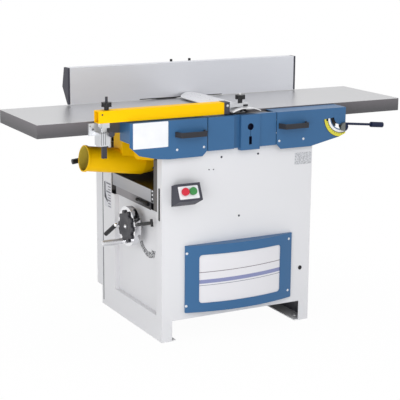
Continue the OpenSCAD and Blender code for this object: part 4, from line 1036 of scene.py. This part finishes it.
TRIM: tuple[Trim, ...] = (
    # Cabinet: screws and lock, the bare plate, the rule with its pointer, a black plate as painted shade of the
    # slot, the turning arrow, the seam.
    Screws("panel_screw", "frame", DARK, rise=0.002, heads=(
        (-0.080, PANEL_Y, 0.722, 0.0045), (0.085, PANEL_Y, 0.722, 0.0045), (0.002, PANEL_Y, 0.479, 0.0045),
        (-0.135, PANEL_Y, 0.677, 0.002475), (-0.115, PANEL_Y, 0.676, 0.002475))),
    Screws("panel_lock", "frame", BLACK, rise=0.004, heads=((0.295, PANEL_Y, 0.227, 0.009),)),
    Plate("bare_plate", "frame", ("plate print", "aluminium"), (0.296, PANEL_Y, 0.686), FRONT,
          size=(0.078, 0.048), thick=0.0008, corner=0.002),
    Plate("height_rule", "frame", ("height rule", "white_panel"), (PANEL_X, 0.22075, 0.4945), LEFT,
          size=(0.0675, 0.109), thick=0.001, corner=0.003),
    # A black plate where the slot is: painted shade of its opening.
    Plate("lock_slot_shade", "frame", BLACK, (PANEL_X, -0.2674, 0.553), LEFT,
          size=(0.014, 0.130), thick=0.0006, corner=0.00672),
    Arrow("turn_arrow", "frame", ("arrow print", "white_panel"), pivot=(-0.319, -0.132, 0.399),
          radii=(0.067, 0.092), degrees=(-150.0, -40.0), head=24.0, thick=0.0006),
    Pointer("rule_pointer", "frame", DARK, back_x=PANEL_X - 0.001, thick=0.0012, outline=(
        (0.253, 0.546), (0.253, 0.480), (0.222, 0.462), (0.243, 0.500), (0.245, 0.546))),
    Plate("panel_seam", "frame", DARK, (PANEL_X, 0.2735, 0.392), LEFT,
          size=(0.0065, 0.744), thick=0.0004, corner=0.0026),
    # Left end of the thicknessing table: the skirt, darker towards the front as painted shade, the bolted strip and
    # the lock's handle.
    Plate("bed_skirt", "thickness_table", ("bed skirt shade", "cast_dark"), (BED_X + 0.003, -0.014, 0.52935), LEFT,
          size=(0.332, 0.0337), thick=0.0012, corner=0.001),
    Plate("bed_strip", "thickness_table", ("moulded black", "cast_dark"), (BED_X, -0.19515, 0.57175), LEFT,
          size=(0.0193, 0.0495), thick=0.0012, corner=0.001),
    Screws("strip_bolt", "thickness_table", WHITE, rise=0.0025, normal=LEFT, heads=tuple(
        (BED_X - 0.0012, -0.2000, z, 0.0044) for z in (0.5615, 0.578, 0.5925))),
    Turned("bed_lock", "thickness_table", DEEP, (BED_X - 0.004, -0.166, 0.5335), BACK, scale=(0.0072, 0.104),
           profile=((TIP, 0.0), (1.0, 0.0), (1.25, 0.1), (1.2, 0.28), (0.62, 0.36), (0.6, 0.9), (0.9, 0.92),
                    (0.9, 1.0), (TIP, 1.0))),
    # The nut in the star knob.
    Turned("star_nut", "star_knob", ("plain chrome", "chrome"), (-0.3808, -0.049, 0.423), LEFT,
           scale=(0.0075, 0.008), profile=((TIP, 0.0), (1.0, 0.0), (1.0, 0.45), (0.86, 0.5), (0.7, 0.78),
                                           (0.4, 0.95), (TIP, 1.0))),
    # Head cover: dark cups in the peep hole and the slot as painted shade, and the lip behind the right seam.
    ShadeCup("peep_shade_cup", "frame", HOLE_SHADE, mouth=(0.0345, -0.315, 0.837), size=(0.027, 0.027), depth=0.019,
           corner=0.0135),
    Plate("seam_lip", "frame", ("machine blue", "blue_paint"), (0.157, -0.3055, 0.778), FRONT,
          size=(0.006, 0.044), thick=0.001, corner=0.0005),
    ShadeCup("slot_shade_cup", "frame", HOLE_SHADE, mouth=(0.0345, -0.315, 0.783), size=(0.013, 0.032), depth=0.019,
           corner=0.0012),
    # Bowed cover and switch box.
    BowedScrews("cover_screw", "frame", WHITE, rise=0.003, heads=tuple((x, -0.3345, z, 0.0052) for x, z in (
        (-0.234, 0.353), (-0.236, 0.139), (0.2297, 0.360), (0.2297, 0.1425)))),
    Plate("switch_plate", "frame", WHITE, (-0.2505, -0.3432, 0.6085), normal=(0.0, -63.0, 29.5),
          size=(0.085, 0.051), thick=0.001, corner=0.004),
    # Aprons: the dial's screw, the screws and the bare sheet.
    Screws("dial_screw", "infeed_carrier", DEEP, rise=0.003, heads=((0.3927, -0.313, 0.8385, 0.0052),)),
    Screws("outfeed_screw", "outfeed", WHITE, rise=0.0025, heads=(
        (-0.285, APRON_Y, 0.771, 0.0048), (-0.170, APRON_Y, 0.773, 0.0048))),
    Screws("infeed_carrier_screw", "infeed_carrier", WHITE, rise=0.0025, heads=(
        (0.168, APRON_Y, 0.770, 0.0048), (0.281, APRON_Y, 0.770, 0.0048))),
    Plate("bare_sheet", "outfeed", WHITE, (-0.396, APRON_Y, 0.835), FRONT,
          size=(0.146, 0.098), thick=0.0006, corner=0.003),
    # A dark strip along the fence's lower edge: painted shadow of the gap under the fence.
    Plate("fence_gap_shadow", "fence", DEEP, (-0.0215, 0.169, 0.8949), FRONT,
          size=(0.387, 0.0036), thick=0.0008, corner=0.001),
    # Guard: the carrier's clip, the bracket's bolts, grey strips as painted shade of its grooves, the clamp knob,
    # and the arm's screws.
    Plate("carrier_clip", "guard_arm", BLACK, (0.0226, -0.292, 0.9190), FRONT,
          size=(0.022, 0.0072), thick=0.0014, corner=0.0033),
    Screws("flange_bolt", "outfeed", DARK, rise=0.003, heads=(
        (-0.595, -0.229, 0.8598, 0.0055), (-0.606, -0.229, 0.872, 0.003))),
    # Grey strips that paint the shade in the bracket's grooves.
    *(Plate(f"bracket_groove_{k}", "outfeed", ("groove shade grey", "dark_plastic"), (x, BRACKET_Y, 0.83125), FRONT,
            size=(0.0022, 0.0495), thick=0.0004, corner=0.0008)
      for k, x in enumerate((-0.584, -0.5752, -0.5675))),
    Turned("post_clamp", "outfeed", ("moulded dark", "black_plastic"), (-0.5475, BRACKET_Y, 0.848), FRONT,
           scale=(1.0, 1.0), profile=((TIP, 0.0), (0.005, 0.0), (0.005, 0.005), (0.0105, 0.0062), (0.0115, 0.009),
                                      (0.0115, 0.014), (0.0095, 0.0165), (TIP, 0.017))),
    Screws("arm_screw", "guard_arm", DARK, rise=0.0018, heads=((-0.5825, -0.292, 0.922, 0.0035),)),
    Screws("block_screw", "guard_arm", ("turned steel", "steel"), rise=0.003, heads=(
        (-0.0572, -0.293, 0.922, 0.0055),)),
    # Bolts of the dust hood.
    ConeBolts("hood_bolt", "frame", BLACK, base=(-0.2824, 0.020, 0.6652), cone_r=0.050, taper=0.28, bolt_r=0.006,
              rise=0.004, bolts=((0.0171, 27.8), (0.0450, -24.0))),
)


@dataclass(frozen=True)
class Lamp:
    """A square area lamp: its place, what it looks at, the length of its sides and its watts."""

    name: str
    place: Point
    target: Point
    size: float
    power: float

    def build(self) -> None:
        """Hangs the lamp up."""
        data = bpy.data.lights.new(self.name, "AREA")
        data.size, data.energy = self.size, self.power
        lamp = bpy.data.objects.new(self.name, data)
        bpy.context.scene.collection.objects.link(lamp)
        lamp.location = self.place
        look = Vector(self.target) - Vector(self.place)
        lamp.rotation_euler = look.to_track_quat("-Z", "Y").to_euler()


@dataclass
class Studio:
    """White floor, soft lamps and the camera at the photograph's angle."""

    eye: Point = (-2.34836, -4.36983, 1.63144)
    yaw: float = math.radians(28.058818)
    pitch: float = math.radians(13.046553)
    roll: float = math.radians(0.447584)
    focal_px: float = 1221.7733
    picture_px: float = 400.0
    sensor_mm: float = 36.0
    clip_end: float = 50.0
    sky: float = 0.48
    floor_r: Pair = (0.01, 9.0)
    fade_r: Pair = (0.5, 1.3)
    fade_near: float = 0.97
    lamps: tuple[Lamp, ...] = (
        Lamp("key", (-0.6, -3.6, 3.2), (0.0, 0.0, 0.55), 2.6, 44.0),
        Lamp("left", (-3.4, -1.2, 1.4), (0.0, 0.0, 0.5), 2.4, 31.0),
        Lamp("low", (-1.5, -2.0, 0.45), (-0.35, 0.0, 0.68), 0.9, 11.0),
        Lamp("right", (3.2, -2.2, 1.8), (0.0, 0.0, 0.5), 2.2, 19.0),
        Lamp("top", (0.2, 0.6, 3.4), (0.0, 0.0, 0.8), 2.4, 30.0),
    )

    def camera(self) -> None:
        """Places the camera: its axes come from the yaw, the pitch and the roll."""
        ahead = np.array([math.sin(self.yaw) * math.cos(self.pitch), math.cos(self.yaw) * math.cos(self.pitch),
                          -math.sin(self.pitch)])
        right = np.array([math.cos(self.yaw), -math.sin(self.yaw), 0.0])
        up = np.cross(right, ahead)
        c, s = math.cos(self.roll), math.sin(self.roll)
        turn = np.eye(4)
        turn[:3, 0], turn[:3, 1], turn[:3, 2] = c * right + s * up, c * up - s * right, -ahead
        turn[:3, 3] = self.eye
        data = bpy.data.cameras.new("camera")
        data.lens, data.sensor_width = self.focal_px * self.sensor_mm / self.picture_px, self.sensor_mm
        data.clip_end = self.clip_end
        camera = bpy.data.objects.new("camera", data)
        bpy.context.scene.collection.objects.link(camera)
        camera.matrix_world = Matrix(turn.tolist())
        bpy.context.scene.camera = camera

    def floor(self) -> None:
        """Lays a round white floor that keeps the shadow near the machine and fades to white outside."""
        ring = np.pad(circle(64), ((0, 0), (0, 1)))
        piece = skin("floor", np.stack([ring * radius for radius in self.floor_r[::-1]]), caps=False)
        s = Shader.material("floor white")
        x, y = s.along(Axis.X), s.along(Axis.Y)
        far = s.ramp((x * x + y * y) ** 0.5, *self.fade_r, self.fade_near, 1.0)
        pale = s.make("ShaderNodeBsdfDiffuse", {}, {"Color": (0.9, 0.9, 0.9)})
        glow = s.make("ShaderNodeEmission", {}, {"Color": (1.0, 1.0, 1.0), "Strength": 1.0})
        mixed = s.make("ShaderNodeMixShader", {}, {0: far * s.seen_as_white(), 1: pale, 2: glow})
        s.node("ShaderNodeOutputMaterial", {}, {"Surface": mixed})
        piece.data.materials.append(s.owner)

    def world(self) -> None:
        """A soft grey sky that the camera and reflections see as white."""
        world = bpy.data.worlds.new("studio")
        bpy.context.scene.world = world
        s = Shader(world)
        sky = s.make("ShaderNodeBackground", {}, {"Color": (0.98, 0.99, 1.0), "Strength": self.sky})
        white = s.make("ShaderNodeBackground", {}, {"Color": (1.0, 1.0, 1.0), "Strength": 1.0})
        mixed = s.make("ShaderNodeMixShader", {}, {0: s.seen_as_white(), 1: sky, 2: white})
        s.node("ShaderNodeOutputWorld", {}, {"Surface": mixed})

    def build(self) -> None:
        """Sets up the whole studio."""
        self.floor()
        self.world()
        self.camera()
        for lamp in self.lamps:
            lamp.build()
        bpy.context.scene.view_settings.view_transform = "Standard"


def main() -> None:
    """Loads the frame, dresses its nodes, and builds the trim and the studio."""
    logging.basicConfig(level=logging.INFO)
    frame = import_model()
    palette = Palette.mix_all()
    for name, node in frame["nodes"].items():
        palette.dress(node, NODE_FINISH[name])
    fitter = Fitter(palette)
    for trim in TRIM:
        trim.build(fitter)
    Studio().build()


if __name__ == "__main__":
    main()
